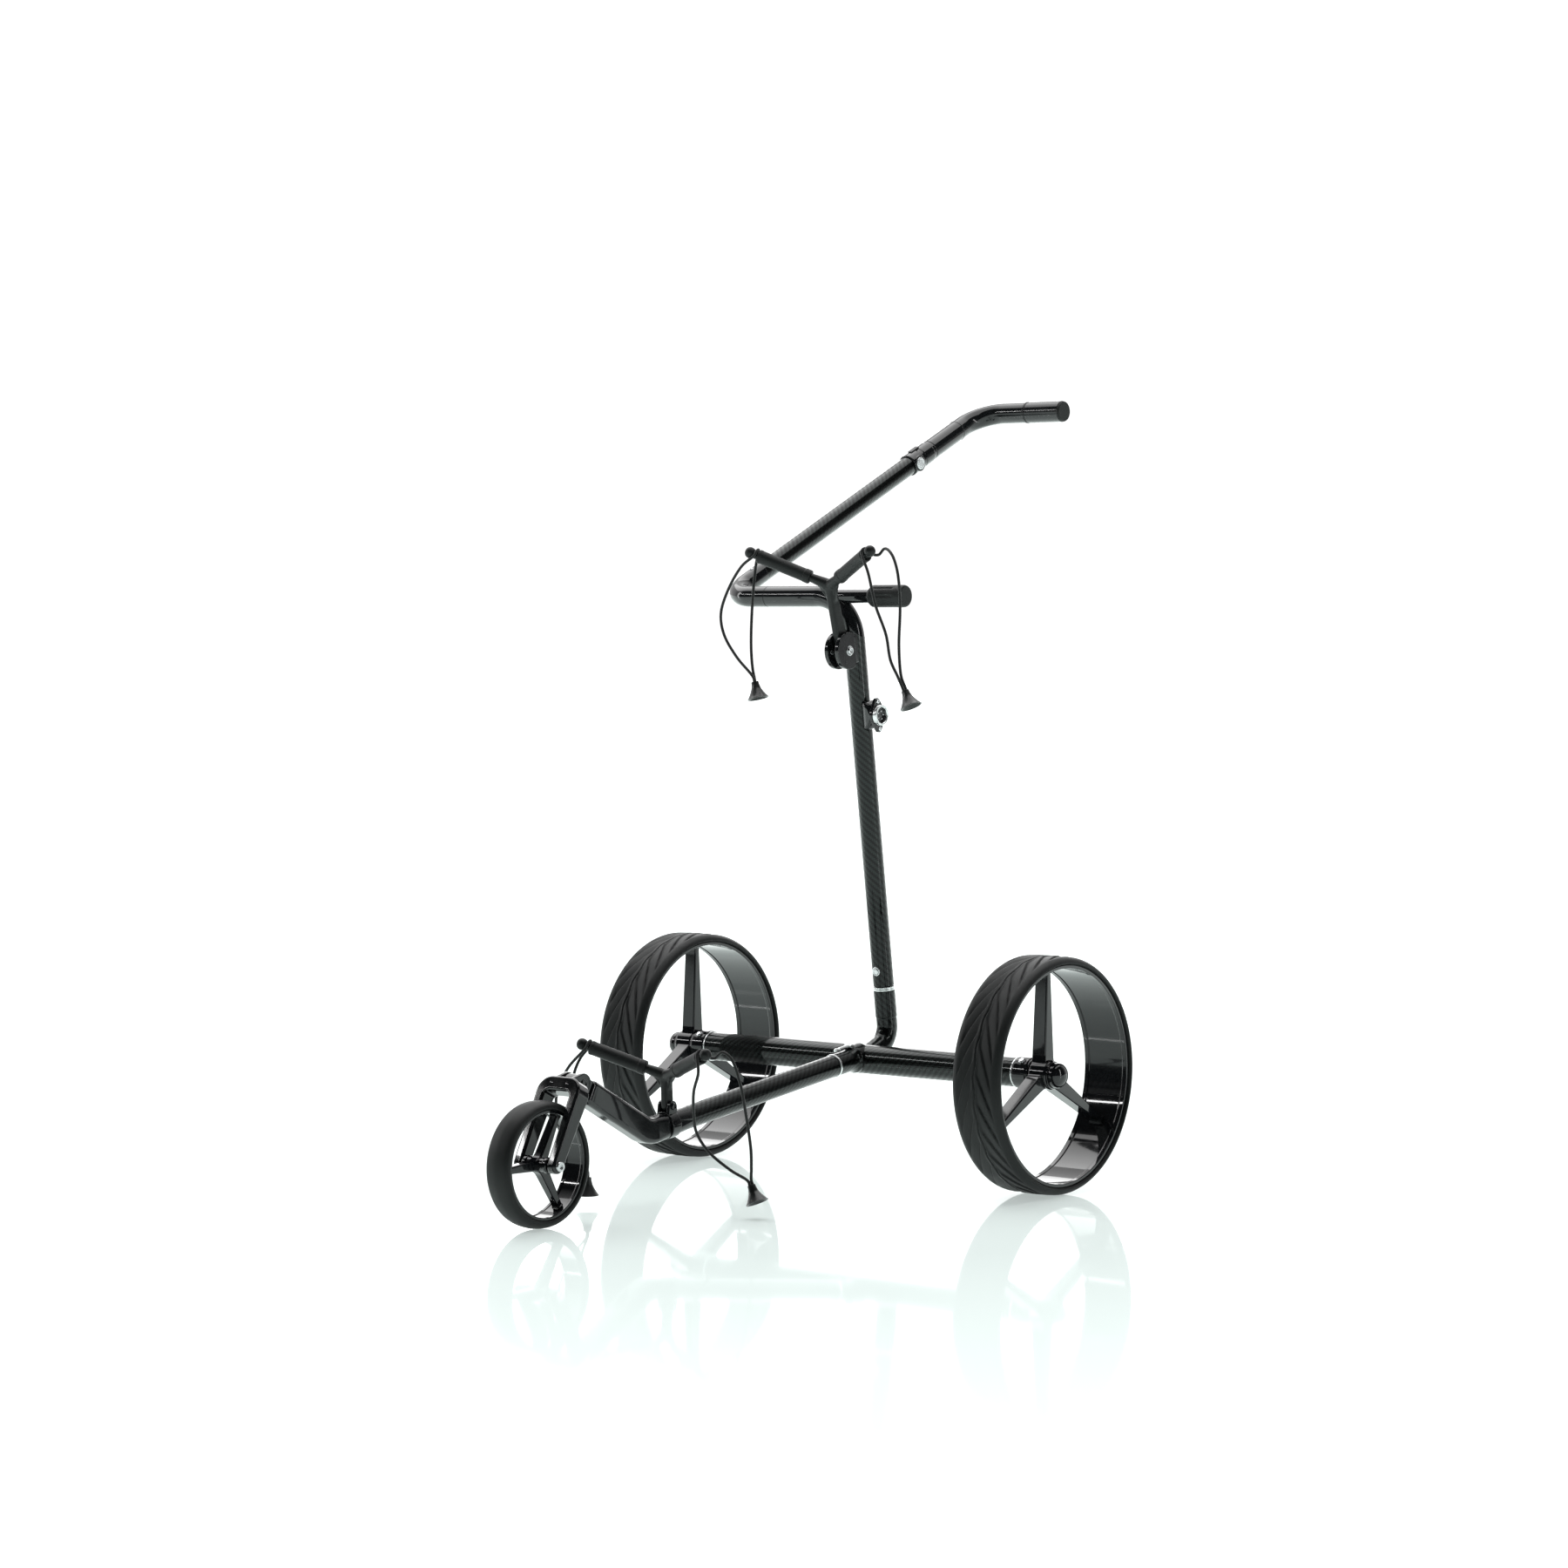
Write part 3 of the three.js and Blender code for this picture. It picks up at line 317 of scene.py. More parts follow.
def tube(path, radius, bore_start=0, bore_end=0, deep=45, edge=0.5, first=X, form=None):
    """A round tube with eased ends; a bore shows to that depth at either end."""
    start, end = (path[1] - path[0]).normalized(), (path[-1] - path[-2]).normalized()
    lead_in = [path[0], path[0] + start * edge * 0.3, path[0] + start * edge]
    lead_out = [path[-1] - end * edge, path[-1] - end * edge * 0.3, path[-1]]
    eased = [radius - edge, radius - edge * 0.3]
    radii = [*eased, *[radius] * len(path), *reversed(eased)]
    outline = rings_along([*lead_in, *path[1:-1], *lead_out], [oval(r, r) for r in radii], first)
    rings = outline
    if bore_start:
        rings = flat_rings(path[0], start, outline[0], bore_start, (deep, 0)) + rings
    if bore_end:
        rings = rings + flat_rings(path[-1], -end, outline[-1], bore_end, (0, deep))
    return (form or Form()).skin(rings)


def flat_rings(centre, inward, like, radius, depths):
    """Rings of a bore's wall, matched to the ring of the tube's end around the same centre."""
    wall = []
    for depth in depths:
        shift = inward * depth
        wall.append([centre + shift + (p - centre - inward * (p - centre).dot(inward)).normalized() * radius
                     for p in like])
    return wall


def prism(outline, thickness, place, bevel=0.8, steps=3, form=None):
    """A flat plate with eased edges; outline is [u, v] pairs and place sets (u, v, w) in the cart."""
    points = [np.array(p, float) for p in outline]
    count = len(points)
    area = sum(a[0] * b[1] - b[0] * a[1] for a, b in zip(points, points[1:] + points[:1]))
    inward = []
    for i in range(count):
        edge = points[(i + 1) % count] - points[i - 1]
        normal = np.array((-edge[1], edge[0])) * (1 if area > 0 else -1)
        inward.append(normal / np.linalg.norm(normal))
    layers = []
    for k in range(steps + 1):
        a = pi / 2 * k / steps
        layers.append((bevel * (1 - sin(a)), bevel * (1 - cos(a))))
    layers += [(inset, thickness - depth) for inset, depth in reversed(layers)]
    rings = [[place(*(p + n * inset), depth) for p, n in zip(points, inward)] for inset, depth in layers]
    return (form or Form()).skin(rings)


def capsule(r0, r1, length, steps=14):
    """Outline of two discs joined by their tangents, from (0, 0) to (0, length)."""
    lean = asin((r0 - r1) / length)
    outline = []
    for k in range(steps + 1):
        a = pi - lean + (pi + 2 * lean) * k / steps
        outline.append((r0 * cos(a), r0 * sin(a)))
    for k in range(steps + 1):
        a = lean + (pi - 2 * lean) * k / steps
        outline.append((r1 * cos(a), length + r1 * sin(a)))
    return outline


def applied(made):
    """Makes a piece's modifiers part of its mesh."""
    bpy.context.view_layer.update()
    mesh = bpy.data.meshes.new_from_object(made.evaluated_get(bpy.context.evaluated_depsgraph_get()))
    made.modifiers.clear()
    made.data = mesh
    return made


def moulded(made, voxel, rounds):
    """Turns a piece's overlapping solids into one skin with rounded inner corners."""
    remesh = made.modifiers.new("one_skin", "REMESH")
    remesh.mode = "VOXEL"
    remesh.voxel_size = voxel * MM
    ease = made.modifiers.new("ease", "SMOOTH")
    ease.factor = 0.5
    ease.iterations = rounds
    return applied(made)


def carve(made, cutter):
    """Cuts the cutter's solid out of a piece."""
    cut = made.modifiers.new("cut", "BOOLEAN")
    cut.operation = "DIFFERENCE"
    cut.solver = "EXACT"
    cut.object = cutter
    applied(made)
    bpy.data.objects.remove(cutter)
    return made


def join(piece, other):
    """Makes the other object part of the piece's mesh."""
    with bpy.context.temp_override(active_object=piece, selected_editable_objects=[piece, other]):
        bpy.ops.object.join()
    return piece


# ------------------------------------------------------------------ material tools
def node(tree, kind, inputs=(), **settings):
    """A shader node; an input is either linked from a socket or set to a value."""
    made = tree.nodes.new(kind)
    for key, value in settings.items():
        setattr(made, key, value)
    for key, value in dict(inputs).items():
        if isinstance(value, bpy.types.NodeSocket):
            tree.links.new(value, made.inputs[key])
        else:
            made.inputs[key].default_value = value
    return made


def maths(tree, operation, first, second=0.0):
    """A Math node's result; a term is a socket or a number."""
    return node(tree, "ShaderNodeMath", {0: first, 1: second}, operation=operation).outputs[0]


def surface(name, **values):
    """A new material, its node tree and its Principled shader with uniform values set on its sockets."""
    material = bpy.data.materials.new(name)
    material.use_nodes = True
    shader = material.node_tree.nodes["Principled BSDF"]
    for key, value in values.items():
        shader.inputs[key.replace("_", " ")].default_value = value
    return material, material.node_tree, shader


def speckle(tree, scale, detail=2.0):
    """Noise fixed to the cart, scale in grains per metre."""
    place = node(tree, "ShaderNodeTexCoord").outputs["Object"]
    inputs = {"Vector": place, "Scale": scale, "Detail": detail}
    return node(tree, "ShaderNodeTexNoise", inputs).outputs["Fac"]


def ramp(tree, factor, low, high):
    """A colour between two others, by a factor from 0.3 to 0.7."""
    made = node(tree, "ShaderNodeMapRange", {"Value": factor, "From Min": 0.3, "From Max": 0.7})
    mix = node(tree, "ShaderNodeMix", data_type="RGBA")
    tree.links.new(made.outputs["Result"], mix.inputs["Factor"])
    mix.inputs[6].default_value = (*low, 1)
    mix.inputs[7].default_value = (*high, 1)
    return mix.outputs[2]


def span(tree, factor, low, high):
    """A number between two others, by a factor from 0.3 to 0.7."""
    return node(tree, "ShaderNodeMapRange", {
        "Value": factor, "From Min": 0.3, "From Max": 0.7, "To Min": low, "To Max": high,
    }).outputs["Result"]


def dress(tree, shader, colour, rough):
    """Links a surface's varying colour and roughness."""
    tree.links.new(colour, shader.inputs["Base Color"])
    tree.links.new(rough, shader.inputs["Roughness"])


def times(colour, factor):
    return [c * factor for c in colour]


def bump(tree, shader, height, depth_mm, strength=1.0):
    """Roughens a surface by a height from 0 to 1 that stands for a depth in millimetres."""
    made = node(tree, "ShaderNodeBump", {"Height": height, "Strength": strength, "Distance": depth_mm * MM})
    tree.links.new(made.outputs["Normal"], shader.inputs["Normal"])


def carbon():
    """Two-by-two twill under a clear coat: each tow passes over two and under two; turn says which."""
    tow_width = 2.1
    material, tree, shader = surface("carbon_twill", Metallic=1.0, Coat_Weight=0.55, Coat_Roughness=0.03)
    place = node(tree, "ShaderNodeUVMap", uv_map="weave").outputs["UV"]
    split = node(tree, "ShaderNodeSeparateXYZ", {0: place})
    u, v = (maths(tree, "DIVIDE", split.outputs[axis], tow_width) for axis in (0, 1))
    over_u, over_v = (maths(tree, "FRACT", w) for w in (u, v))
    cell = maths(tree, "ADD", maths(tree, "FLOOR", u), maths(tree, "FLOOR", v))
    turn = maths(tree, "MODULO", cell, 4.0)
    is_warp = maths(tree, "LESS_THAN", turn, 1.5)

    def crown(across):
        centred = maths(tree, "MULTIPLY_ADD", across, 2.0)
        centred.node.inputs[2].default_value = -1.0
        return maths(tree, "SUBTRACT", 1.0, maths(tree, "POWER", maths(tree, "ABSOLUTE", centred), 2.0))

    def floating(start, across):
        travel = maths(tree, "DIVIDE", maths(tree, "ADD", maths(tree, "SUBTRACT", turn, start), across), 2.0)
        return crown(travel)

    warp = maths(tree, "MULTIPLY", crown(over_v), maths(tree, "SQRT", floating(0.0, over_u)))
    weft = maths(tree, "MULTIPLY", crown(over_u), maths(tree, "SQRT", floating(2.0, over_v)))
    height = node(tree, "ShaderNodeMix", {"Factor": is_warp, 2: weft, 3: warp}).outputs[0]
    colour = node(tree, "ShaderNodeMix", {"Factor": is_warp}, data_type="RGBA")
    colour.inputs[6].default_value = (0.0045, 0.005, 0.005, 1)
    colour.inputs[7].default_value = (0.017, 0.021, 0.020, 1)
    rough = node(tree, "ShaderNodeMix", {"Factor": is_warp, 2: 0.45, 3: 0.3}).outputs[0]
    dress(tree, shader, colour.outputs[2], rough)
    bump(tree, shader, height, 0.08, 0.25)
    return material


def gloss(name, colour=(0.0055, 0.006, 0.0068), rough=0.1):
    """Black paint or gloss plastic with a faint orange-peel."""
    material, tree, shader = surface(name, Specular_IOR_Level=0.4, Coat_Weight=0.4, Coat_Roughness=0.03)
    grain = speckle(tree, 260.0)
    smear = span(tree, speckle(tree, 60.0), rough * 0.8, rough * 1.4)
    dress(tree, shader, ramp(tree, grain, colour, times(colour, 1.5)), smear)
    bump(tree, shader, grain, 0.02, 0.25)
    return material


def rubber(name, colour, rough, grain_scale, depth, sheen=0.0):
    """Matt rubber or nylon with a fine grain and faint clouds."""
    material, tree, shader = surface(name, Sheen_Weight=sheen, Sheen_Roughness=0.4, Specular_IOR_Level=0.28)
    grain = speckle(tree, grain_scale, 4.0)
    cloud = speckle(tree, 28.0, 3.0)
    smear = span(tree, cloud, rough - 0.06, rough + 0.06)
    dress(tree, shader, ramp(tree, cloud, colour, times(colour, 1.45)), smear)
    bump(tree, shader, grain, depth, 0.6)
    return material


def metal(name, colour, rough, stretch=1.0):
    """Bright metal; a stretched grain gives the fine lines that turning leaves."""
    material, tree, shader = surface(name, Metallic=1.0)
    place = node(tree, "ShaderNodeTexCoord").outputs["Object"]
    scaled = node(tree, "ShaderNodeVectorMath", {0: place, 1: (stretch, 1.0, 1.0)}, operation="MULTIPLY")
    grain = node(tree, "ShaderNodeTexNoise", {
        "Vector": scaled.outputs[0], "Scale": 900.0, "Detail": 3.0,
    }).outputs["Fac"]
    smear = span(tree, grain, rough * 0.7, rough * 1.5)
    dress(tree, shader, ramp(tree, grain, times(colour, 0.9), colour), smear)
    bump(tree, shader, grain, 0.01, 0.3)
    return material


def braid():
    """Braided elastic: two sets of yarns cross on the slant."""
    material, tree, shader = surface("braided_elastic", Specular_IOR_Level=0.3, Sheen_Weight=0.25)
    place = node(tree, "ShaderNodeUVMap", uv_map="weave").outputs["UV"]
    split = node(tree, "ShaderNodeSeparateXYZ", {0: place})
    along, around = split.outputs[0], split.outputs[1]
    waves = []
    for sign in ("ADD", "SUBTRACT"):
        slant = maths(tree, sign, maths(tree, "MULTIPLY", along, 1.2), around)
        waves.append(maths(tree, "SINE", maths(tree, "MULTIPLY", slant, 4 * pi / (CORD_R * pi))))
    yarn = maths(tree, "MAXIMUM", waves[0], waves[1])
    factor = maths(tree, "ADD", maths(tree, "MULTIPLY", yarn, 0.2), 0.5)
    colour = ramp(tree, factor, (0.005, 0.0055, 0.0055), (0.013, 0.014, 0.014))
    dress(tree, shader, colour, span(tree, factor, 0.75, 0.55))
    bump(tree, shader, yarn, 0.08, 0.5)
    return material


def satin_silver():
    """The brushed face of a push button."""
    material, tree, shader = surface("satin_silver", Metallic=0.55)
    grain = speckle(tree, 1200.0)
    colour = ramp(tree, grain, (0.7, 0.72, 0.73), (0.82, 0.83, 0.84))
    dress(tree, shader, colour, span(tree, grain, 0.25, 0.38))
    return material


MATERIALS = {
    "carbon": carbon(),
    "gloss_black": gloss("gloss_black"),
    "rim": gloss("rim_black", (0.0045, 0.005, 0.006), 0.06),
    "tyre": rubber("tyre_rubber", (0.0075, 0.0087, 0.0087), 0.52, 1500.0, 0.06, 0.02),
    "rubber": rubber("soft_rubber", (0.0085, 0.0098, 0.0098), 0.52, 2200.0, 0.05, 0.02),
    "polished": metal("polished_silver", (0.84, 0.86, 0.86), 0.27),
    "steel": metal("bright_steel", (0.74, 0.75, 0.76), 0.2, 4.0),
    "button": satin_silver(),
    "cord": braid(),
    "cone": gloss("cone_black", (0.006, 0.007, 0.007), 0.36),
}
MOULDED = rubber("moulded_nylon", (0.0075, 0.0088, 0.0088), 0.42, 1800.0, 0.03)
GRIP = gloss("grip_lacquer", (0.006, 0.0065, 0.0075), 0.16)


# ------------------------------------------------------------------ cords
# Below the neck of its arm each cord hangs in two strands that meet in a pull cone. Points are
# listed from the neck down, for the strand in front of the arm and for the strand behind it.
CORDS = {
    "upper_left": dict(
        front=[(95, -110, 728), (106, -110, 690), (121, -109, 655), (127, -108, 625), (137, -107, 606)],
        rear=[(96, -91, 749), (103, -89, 756), (118, -95, 750), (129, -98, 730), (134, -99, 690),
              (134, -101, 640), (139, -103, 606)],
        cone=(146, -105, 590), lean=(0.43, 0, -0.9)),
    "upper_right": dict(
        front=[(-100, -107, 737), (-122, -108, 706), (-132, -108, 679), (-128, -107, 655),
               (-110, -105, 628)],
        rear=[(-90, -93, 735), (-93, -96, 685), (-92, -99, 640), (-88, -101, 614)],
        cone=(-83, -103, 598), lean=(0.26, 0, -0.965)),
    "lower_left": dict(
        front=[(88, -410, 165), (77, -405, 142), (70, -397, 118), (68, -390, 94), (78, -381, 72),
               (104, -373, 52)],
        rear=[(98, -393, 180), (107, -391, 187), (118, -389, 181), (127, -384, 154), (131, -378, 117),
              (134, -373, 77), (133, -371, 55)],
        cone=(132, -370, 37), lean=(0.42, 0, -0.91)),
    "lower_right": dict(
        front=[(-106, -412, 158), (-120, -412, 136), (-128, -410, 115), (-121, -408, 88), (-106, -407, 60)],
        rear=[(-100, -398, 168), (-109, -400, 148), (-111, -401, 118), (-104, -402, 82), (-93, -403, 54)],
        cone=(-84, -405, 31), lean=(0, 0, -1)),
}


def centripetal(points, steps):
    """A centripetal Catmull-Rom curve through the points, with that many steps in each span."""
    points = [2 * points[0] - points[1], *points, 2 * points[-1] - points[-2]]
    line = []
    for p0, p1, p2, p3 in zip(points, points[1:], points[2:], points[3:]):
        d0, d1, d2 = (sqrt((b - a).length) for a, b in ((p0, p1), (p1, p2), (p2, p3)))
        m1 = ((p1 - p0) / d0 - (p2 - p0) / (d0 + d1) + (p2 - p1) / d1) * d1
        m2 = ((p2 - p1) / d1 - (p3 - p1) / (d1 + d2) + (p3 - p2) / d2) * d1
        for k in range(steps):
            t = k / steps
            line.append(p1 + m1 * t + (3 * (p2 - p1) - 2 * m1 - m2) * t ** 2
                        + (2 * (p1 - p2) + m1 + m2) * t ** 3)
    return line + [points[-2]]


def arm_frame(cradle, s):
    """The foot of a cradle's arm, and its directions along, to the rear and over the top."""
    joint = Vector(cradle["joint"])
    tip = vec(s * cradle["tip"][0], *cradle["tip"][1:])
    along = (tip - joint).normalized()
    rear = vec(-along.y * s, along.x * s, 0).normalized()
    over = (Z - along * along.z).normalized()
    return joint, along, rear, over


def pull_cone(name, cone, lean):
    """A bell with a rolled rim and a round throat for the two strands."""
    profile = [(CONE_HOLE, 0), (CONE_TOP, 0), (CONE_TOP + 0.3, 3.5), (CONE_TOP + 1.5, 8.5), (8.6, 13.5),
               (11.4, 18), (CONE_BASE - 0.3, 20.2), (CONE_BASE, 20.8), (CONE_BASE - 1.2, CONE_HEIGHT),
               (9.4, 18.2), (6.6, 13.5), (CONE_HOLE + 0.6, 9), (CONE_HOLE, 7)]
    return lathe(name + "_bell", name, profile, Vector(cone), Vector(lean).normalized(), 56, 1.4)


def bag_cord(level, cradle, side, s):
    """The two strands of a cord, from the top of its arm's neck down into its pull cone."""
    joint, along, rear, over = arm_frame(cradle, s)
    facts = CORDS[f"{level}_{side}"]
    neck = joint + along * NECK
    turn = CRADLE_ROD_R + CORD_R + GAP
    angles = [pi * k / WRAP_STEPS for k in range(WRAP_STEPS + 1)]
    wrap = [neck - rear * turn * cos(a) + over * turn * sin(a) for a in angles]
    tip, down = Vector(facts["cone"]), Vector(facts["lean"]).normalized()
    apart = (rear - down * rear.dot(down)).normalized()
    ends = [[tip + down * depth + apart * STRAND_OFFSET * way for depth in (5, 0, -5)] for way in (-1, 1)]
    points = [*ends[0], *[Vector(p) for p in reversed(facts["front"])], *wrap,
              *[Vector(p) for p in facts["rear"]], *reversed(ends[1])]
    line = centripetal(points, SPAN_STEPS)
    top = (len(ends[0]) + len(facts["front"]) + WRAP_STEPS // 2) * SPAN_STEPS
    cad_node = f"{level}_cord_{side}"
    bell = pull_cone(f"{level}_cone_{side}", facts["cone"], facts["lean"])
    for strand, route in (("front", line[top::-1]), ("rear", line[top:])):
        rings = rings_along(route, [oval(CORD_R, CORD_R, 16)] * len(route), along)
        cord = finish(Form().skin(rings).object(f"{cad_node}_{strand}"), cad_node, weighted=False)
        path = [in_frame(p) for p in route]
        length = sum((b - a).length for a, b in zip(route, route[1:])) * MM
        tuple(path[0])


for level, cradle in CRADLES.items():
    for side, s in SIDES:
        bag_cord(level, cradle, side, s)


# ------------------------------------------------------------------ rear axle
def axle_at(x):
    return vec(x, 0, AXLE_Z)


def eyelet(name, centre, axis, inner, outer, rise, body, slot):
    """A thin rim that stands up around a push button."""
    profile = [(inner, -0.6), (outer, -0.6), (outer, rise * 0.5), (outer - 0.4, rise), (inner, rise)]
    return lathe(name, None, profile, centre, axis, 40, 0.25, body=body, slot=slot)


def snap_button(name, centre, axis, radius, depth, rise):
    """A domed spring button with a turned step below its crown."""
    profile = [(0, -depth), (radius, -depth), (radius, rise * 0.55), (radius * 0.9, rise * 0.75),
               (radius * 0.62, rise * 0.95), (0, rise)]
    return lathe(name + "_dome", name, profile, centre, axis, 40, 0.9)


def axle_tube():
    """The bored tube between the rear wheels."""
    profile = [(STUB_BORE, -AXLE_HALF), (AXLE_R, -AXLE_HALF), (AXLE_R, AXLE_HALF), (STUB_BORE, AXLE_HALF)]
    lathe("axle_skin", "axle_tube", profile, axle_at(0), X, 96, 0.8)


def axle_end(side, s):
    """The ring and the sleeve at one end of the axle, with the snap button that locks the wheel."""
    out = X * s
    ring = [(STUB_BORE, 0), (AXLE_R + 1, 0), (AXLE_R + 1, 1.9), (STUB_BORE, 1.9)]
    lathe(f"axle_ring_{side}_band", f"axle_ring_{side}", ring, axle_at(s * (AXLE_HALF + GAP)), out, 80, 0.5)
    sleeve = [(STUB_BORE, 0), (AXLE_R + 1.2, 0), (AXLE_R + 1.6, 1.4), (AXLE_R + 1.6, 18.4),
              (AXLE_R + 0.4, 20), (AXLE_R + 0.4, 21.9), (STUB_BORE, 21.9)]
    lathe(f"axle_sleeve_{side}_shell", f"axle_sleeve_{side}", sleeve, axle_at(s * SLEEVE_FROM), out, 80, 0.8)
    seat = axle_at(s * BUTTON_X) + BUTTON_UP * (AXLE_R + 1.6)
    eyelet(f"wheel_button_eyelet_{side}", seat, BUTTON_UP, 4.25, 5.8, 0.7, "chassis", "gloss_black")
    snap_button(f"wheel_button_{side}", seat, BUTTON_UP, 4, 5, 2.5)


axle_tube()
for side, s in SIDES:
    axle_end(side, s)


# ------------------------------------------------------------------ wheels
def wheel_point(centre, s, rake=0.0):
    """Places (around, up, outboard) of a wheel standing at a centre; rake turns it about its axle."""
    def place(u, v, w):
        fore, rise = u * cos(rake) + v * sin(rake), v * cos(rake) - u * sin(rake)
        return centre + vec(s * w, fore, rise)
    return place


def spoke_rings(place, inner, outer, wide, narrow, mid, half, angle, flare):
    """A tapered box spoke that widens where it meets the hub and the rim."""
    rings = []
    for k in range(25):
        t = k / 24
        r = inner + (outer - inner) * t
        at_rim = max(0, 1 - (outer - r) / (flare * 3)) ** 2
        at_hub = max(0, 1 - (r - inner) / (flare * 5)) ** 2
        spread = flare * (at_rim + at_hub)
        half_u = wide / 2 + (narrow - wide) / 2 * t + spread
        half_w = half * (1 - 0.12 * t) + 0.35 * spread
        ring = []
        for u, w in block(half_u, half_w, min(2.0, half_u * 0.5), 28):
            ring.append(place(u * cos(angle) + r * sin(angle), r * cos(angle) - u * sin(angle), mid + w))
        rings.append(ring)
    return rings


def spoked_rim(name, place, s, centre, barrel, hub, spoke, segments):
    """A barrel and a hub with three spokes between them."""
    form = turned(barrel, centre, X * s, segments, edge=0.7)
    turned(hub, centre, X * s, 64, edge=1.2, form=form)
    for k in range(3):
        form.skin(spoke_rings(place, angle=k * 2 * pi / 3, **spoke))
    return finish(form.object(name + "_cast"), name, sharp=40)


def tread_depth(around, across, pitch):
    """Depth of the tread in millimetres: overlapping slanted leaves on each side of a wavy groove."""
    reach = np.abs(across)
    stagger = np.where(across > 0, 0.0, 0.5)
    curl = 2.0 * reach + 0.02 * reach ** 2
    phase = ((around + curl) / pitch + stagger) % 1
    edge = smooth_step(phase / 0.045) * (1 - phase) ** 1.7
    second = ((around + curl) / pitch + stagger + 0.42) % 1
    vein = np.clip(1 - np.abs(second - 0.5) / 0.035, 0, 1)
    vein = vein * smooth_step((reach - 7) / 3) * smooth_step((19 - reach) / 4)
    window = smooth_step((reach - 1.5) / 4) * smooth_step((26 - reach) / 6)
    groove_at = 0.9 * np.sin(2 * pi * around / pitch)
    groove = np.clip(1 - np.abs(across - groove_at) / 1.5, 0, 1)
    band = np.clip(1 - np.abs(reach - 27.2) / 0.7, 0, 1)
    leaves = 1.9 * edge * window + 0.5 * vein * window
    return np.maximum.reduce([leaves, 1.5 * smooth_step(groove), 0.5 * smooth_step(band)])


def treaded_tyre(name, centre, s):
    """The rear tyre: a rounded band whose crown is cut by the tread."""
    around_count, crown_count, crown_half = 760, 66, 25.5
    inner = REAR_OPENING_R + RIM_WALL + GAP
    pitch = 2 * pi * REAR_R / TREAD_LEAVES
    side_profile = [(REAR_R - 0.9, 26.6), (REAR_R - 1.7, 28.7), (REAR_R - 2.9, 30.8), (REAR_R - 4.4, 32.5),
                    (REAR_R - 6.0, 33.4), (REAR_R - 7.4, REAR_TYRE_HALF), (inner + 3.2, 33.3),
                    (inner + 2.2, 32.0), (inner + 1.9, 30.9), (inner + 1.8, 28.4), (inner, 28.2)]
    crown = np.linspace(-crown_half, crown_half, crown_count)
    crown_r = REAR_R - 0.75 * (np.abs(crown) / crown_half) ** 3
    left = [(r, -h) for r, h in reversed(side_profile)]
    profile = left + list(zip(crown_r, crown)) + side_profile
    radius = np.array([r for r, _ in profile])
    across = np.array([h for _, h in profile])
    angle = np.linspace(0, 2 * pi, around_count, endpoint=False)
    grid_angle, grid_across = np.meshgrid(angle, across, indexing="ij")
    depth = tread_depth(grid_angle * REAR_R, grid_across, pitch)
    depth[:, radius < REAR_R - 2.5] = 0
    grid_r = radius[None, :] - depth
    x = centre.x + s * grid_across
    y = centre.y + grid_r * np.sin(grid_angle)
    z = centre.z + grid_r * np.cos(grid_angle)
    count = len(profile)
    form = Form()
    form.points = np.stack([x, y, z], -1).reshape(-1, 3)
    i, k = np.meshgrid(np.arange(around_count), np.arange(count), indexing="ij")
    j, m = (i + 1) % around_count, (k + 1) % count
    corners = [i * count + k, i * count + m, j * count + m, j * count + k]
    form.faces = np.stack(corners, -1).reshape(-1, 4).tolist()
    form.weave = np.zeros((around_count * count * 4, 2))
    return finish(form.object(name + "_tread"), name, sharp=50, weighted=False)


def rear_wheel(side, s):
    """Rim, tyre, hub cap and the stub axle that the wheel comes off with."""
    centre = vec(s * WHEEL_X, 0, AXLE_Z)
    out = X * s
    lip = REAR_OPENING_R + RIM_WALL + 1.4
    half, step = REAR_RIM_HALF, 24.5
    barrel = [(REAR_OPENING_R, -half), (lip, -half), (lip, 1.6 - half), (lip - 1.4, 1.6 - half),
              (lip - 1.4, half - 1.6), (lip, half - 1.6), (lip, half), (REAR_OPENING_R, half),
              (REAR_OPENING_R, step), (REAR_OPENING_R + 0.9, step - 1),
              (REAR_OPENING_R + 0.9, 1 - step), (REAR_OPENING_R, -step)]
    hub = [(STUB_BORE, HUB_IN), (HUB_R - 1, HUB_IN), (HUB_R, HUB_IN + 2), (HUB_R, HUB_OUT - 4),
           (HUB_R - 1.6, HUB_OUT - 2), (HUB_R - 1.6, HUB_OUT), (STUB_R + 3.3, HUB_OUT),
           (STUB_R + 3.3, HUB_OUT - 2.3), (STUB_BORE, HUB_OUT - 2.3)]
    spoke = dict(inner=9, outer=127.6, wide=19, narrow=7, mid=-2, half=10, flare=2.2)
    spoked_rim(f"rear_rim_{side}", wheel_point(centre, s), s, centre, barrel, hub, spoke, 180)
    treaded_tyre(f"rear_tyre_{side}", centre, s)
    base = HUB_OUT + GAP
    dome = [(14.8 * cos(a), base + 4 + 11 * sin(a)) for a in (pi / 2 * k / 14 for k in range(14))]
    cap = [(0, base + 4), (10.3, base + 4), (10.3, base), (14.4, base), (14.8, base + 1.2)]
    cap += dome + [(0, base + 15)]
    lathe(f"hub_cap_{side}_dome", f"hub_cap_{side}", cap, centre, out, 64, 0.4)
    shaft = [(0, -90), (STUB_R - 1, -90), (STUB_R, -89), (STUB_R, -80), (STUB_R - 0.9, -79),
             (STUB_R - 0.9, -75), (STUB_R, -74), (STUB_R, HUB_OUT - 2), (STUB_R + 3, HUB_OUT - 2),
             (STUB_R + 3, HUB_OUT + 3), (0, HUB_OUT + 3)]
    lathe(f"stub_axle_{side}_shaft", f"stub_axle_{side}", shaft, centre, out, 40, 0.4)


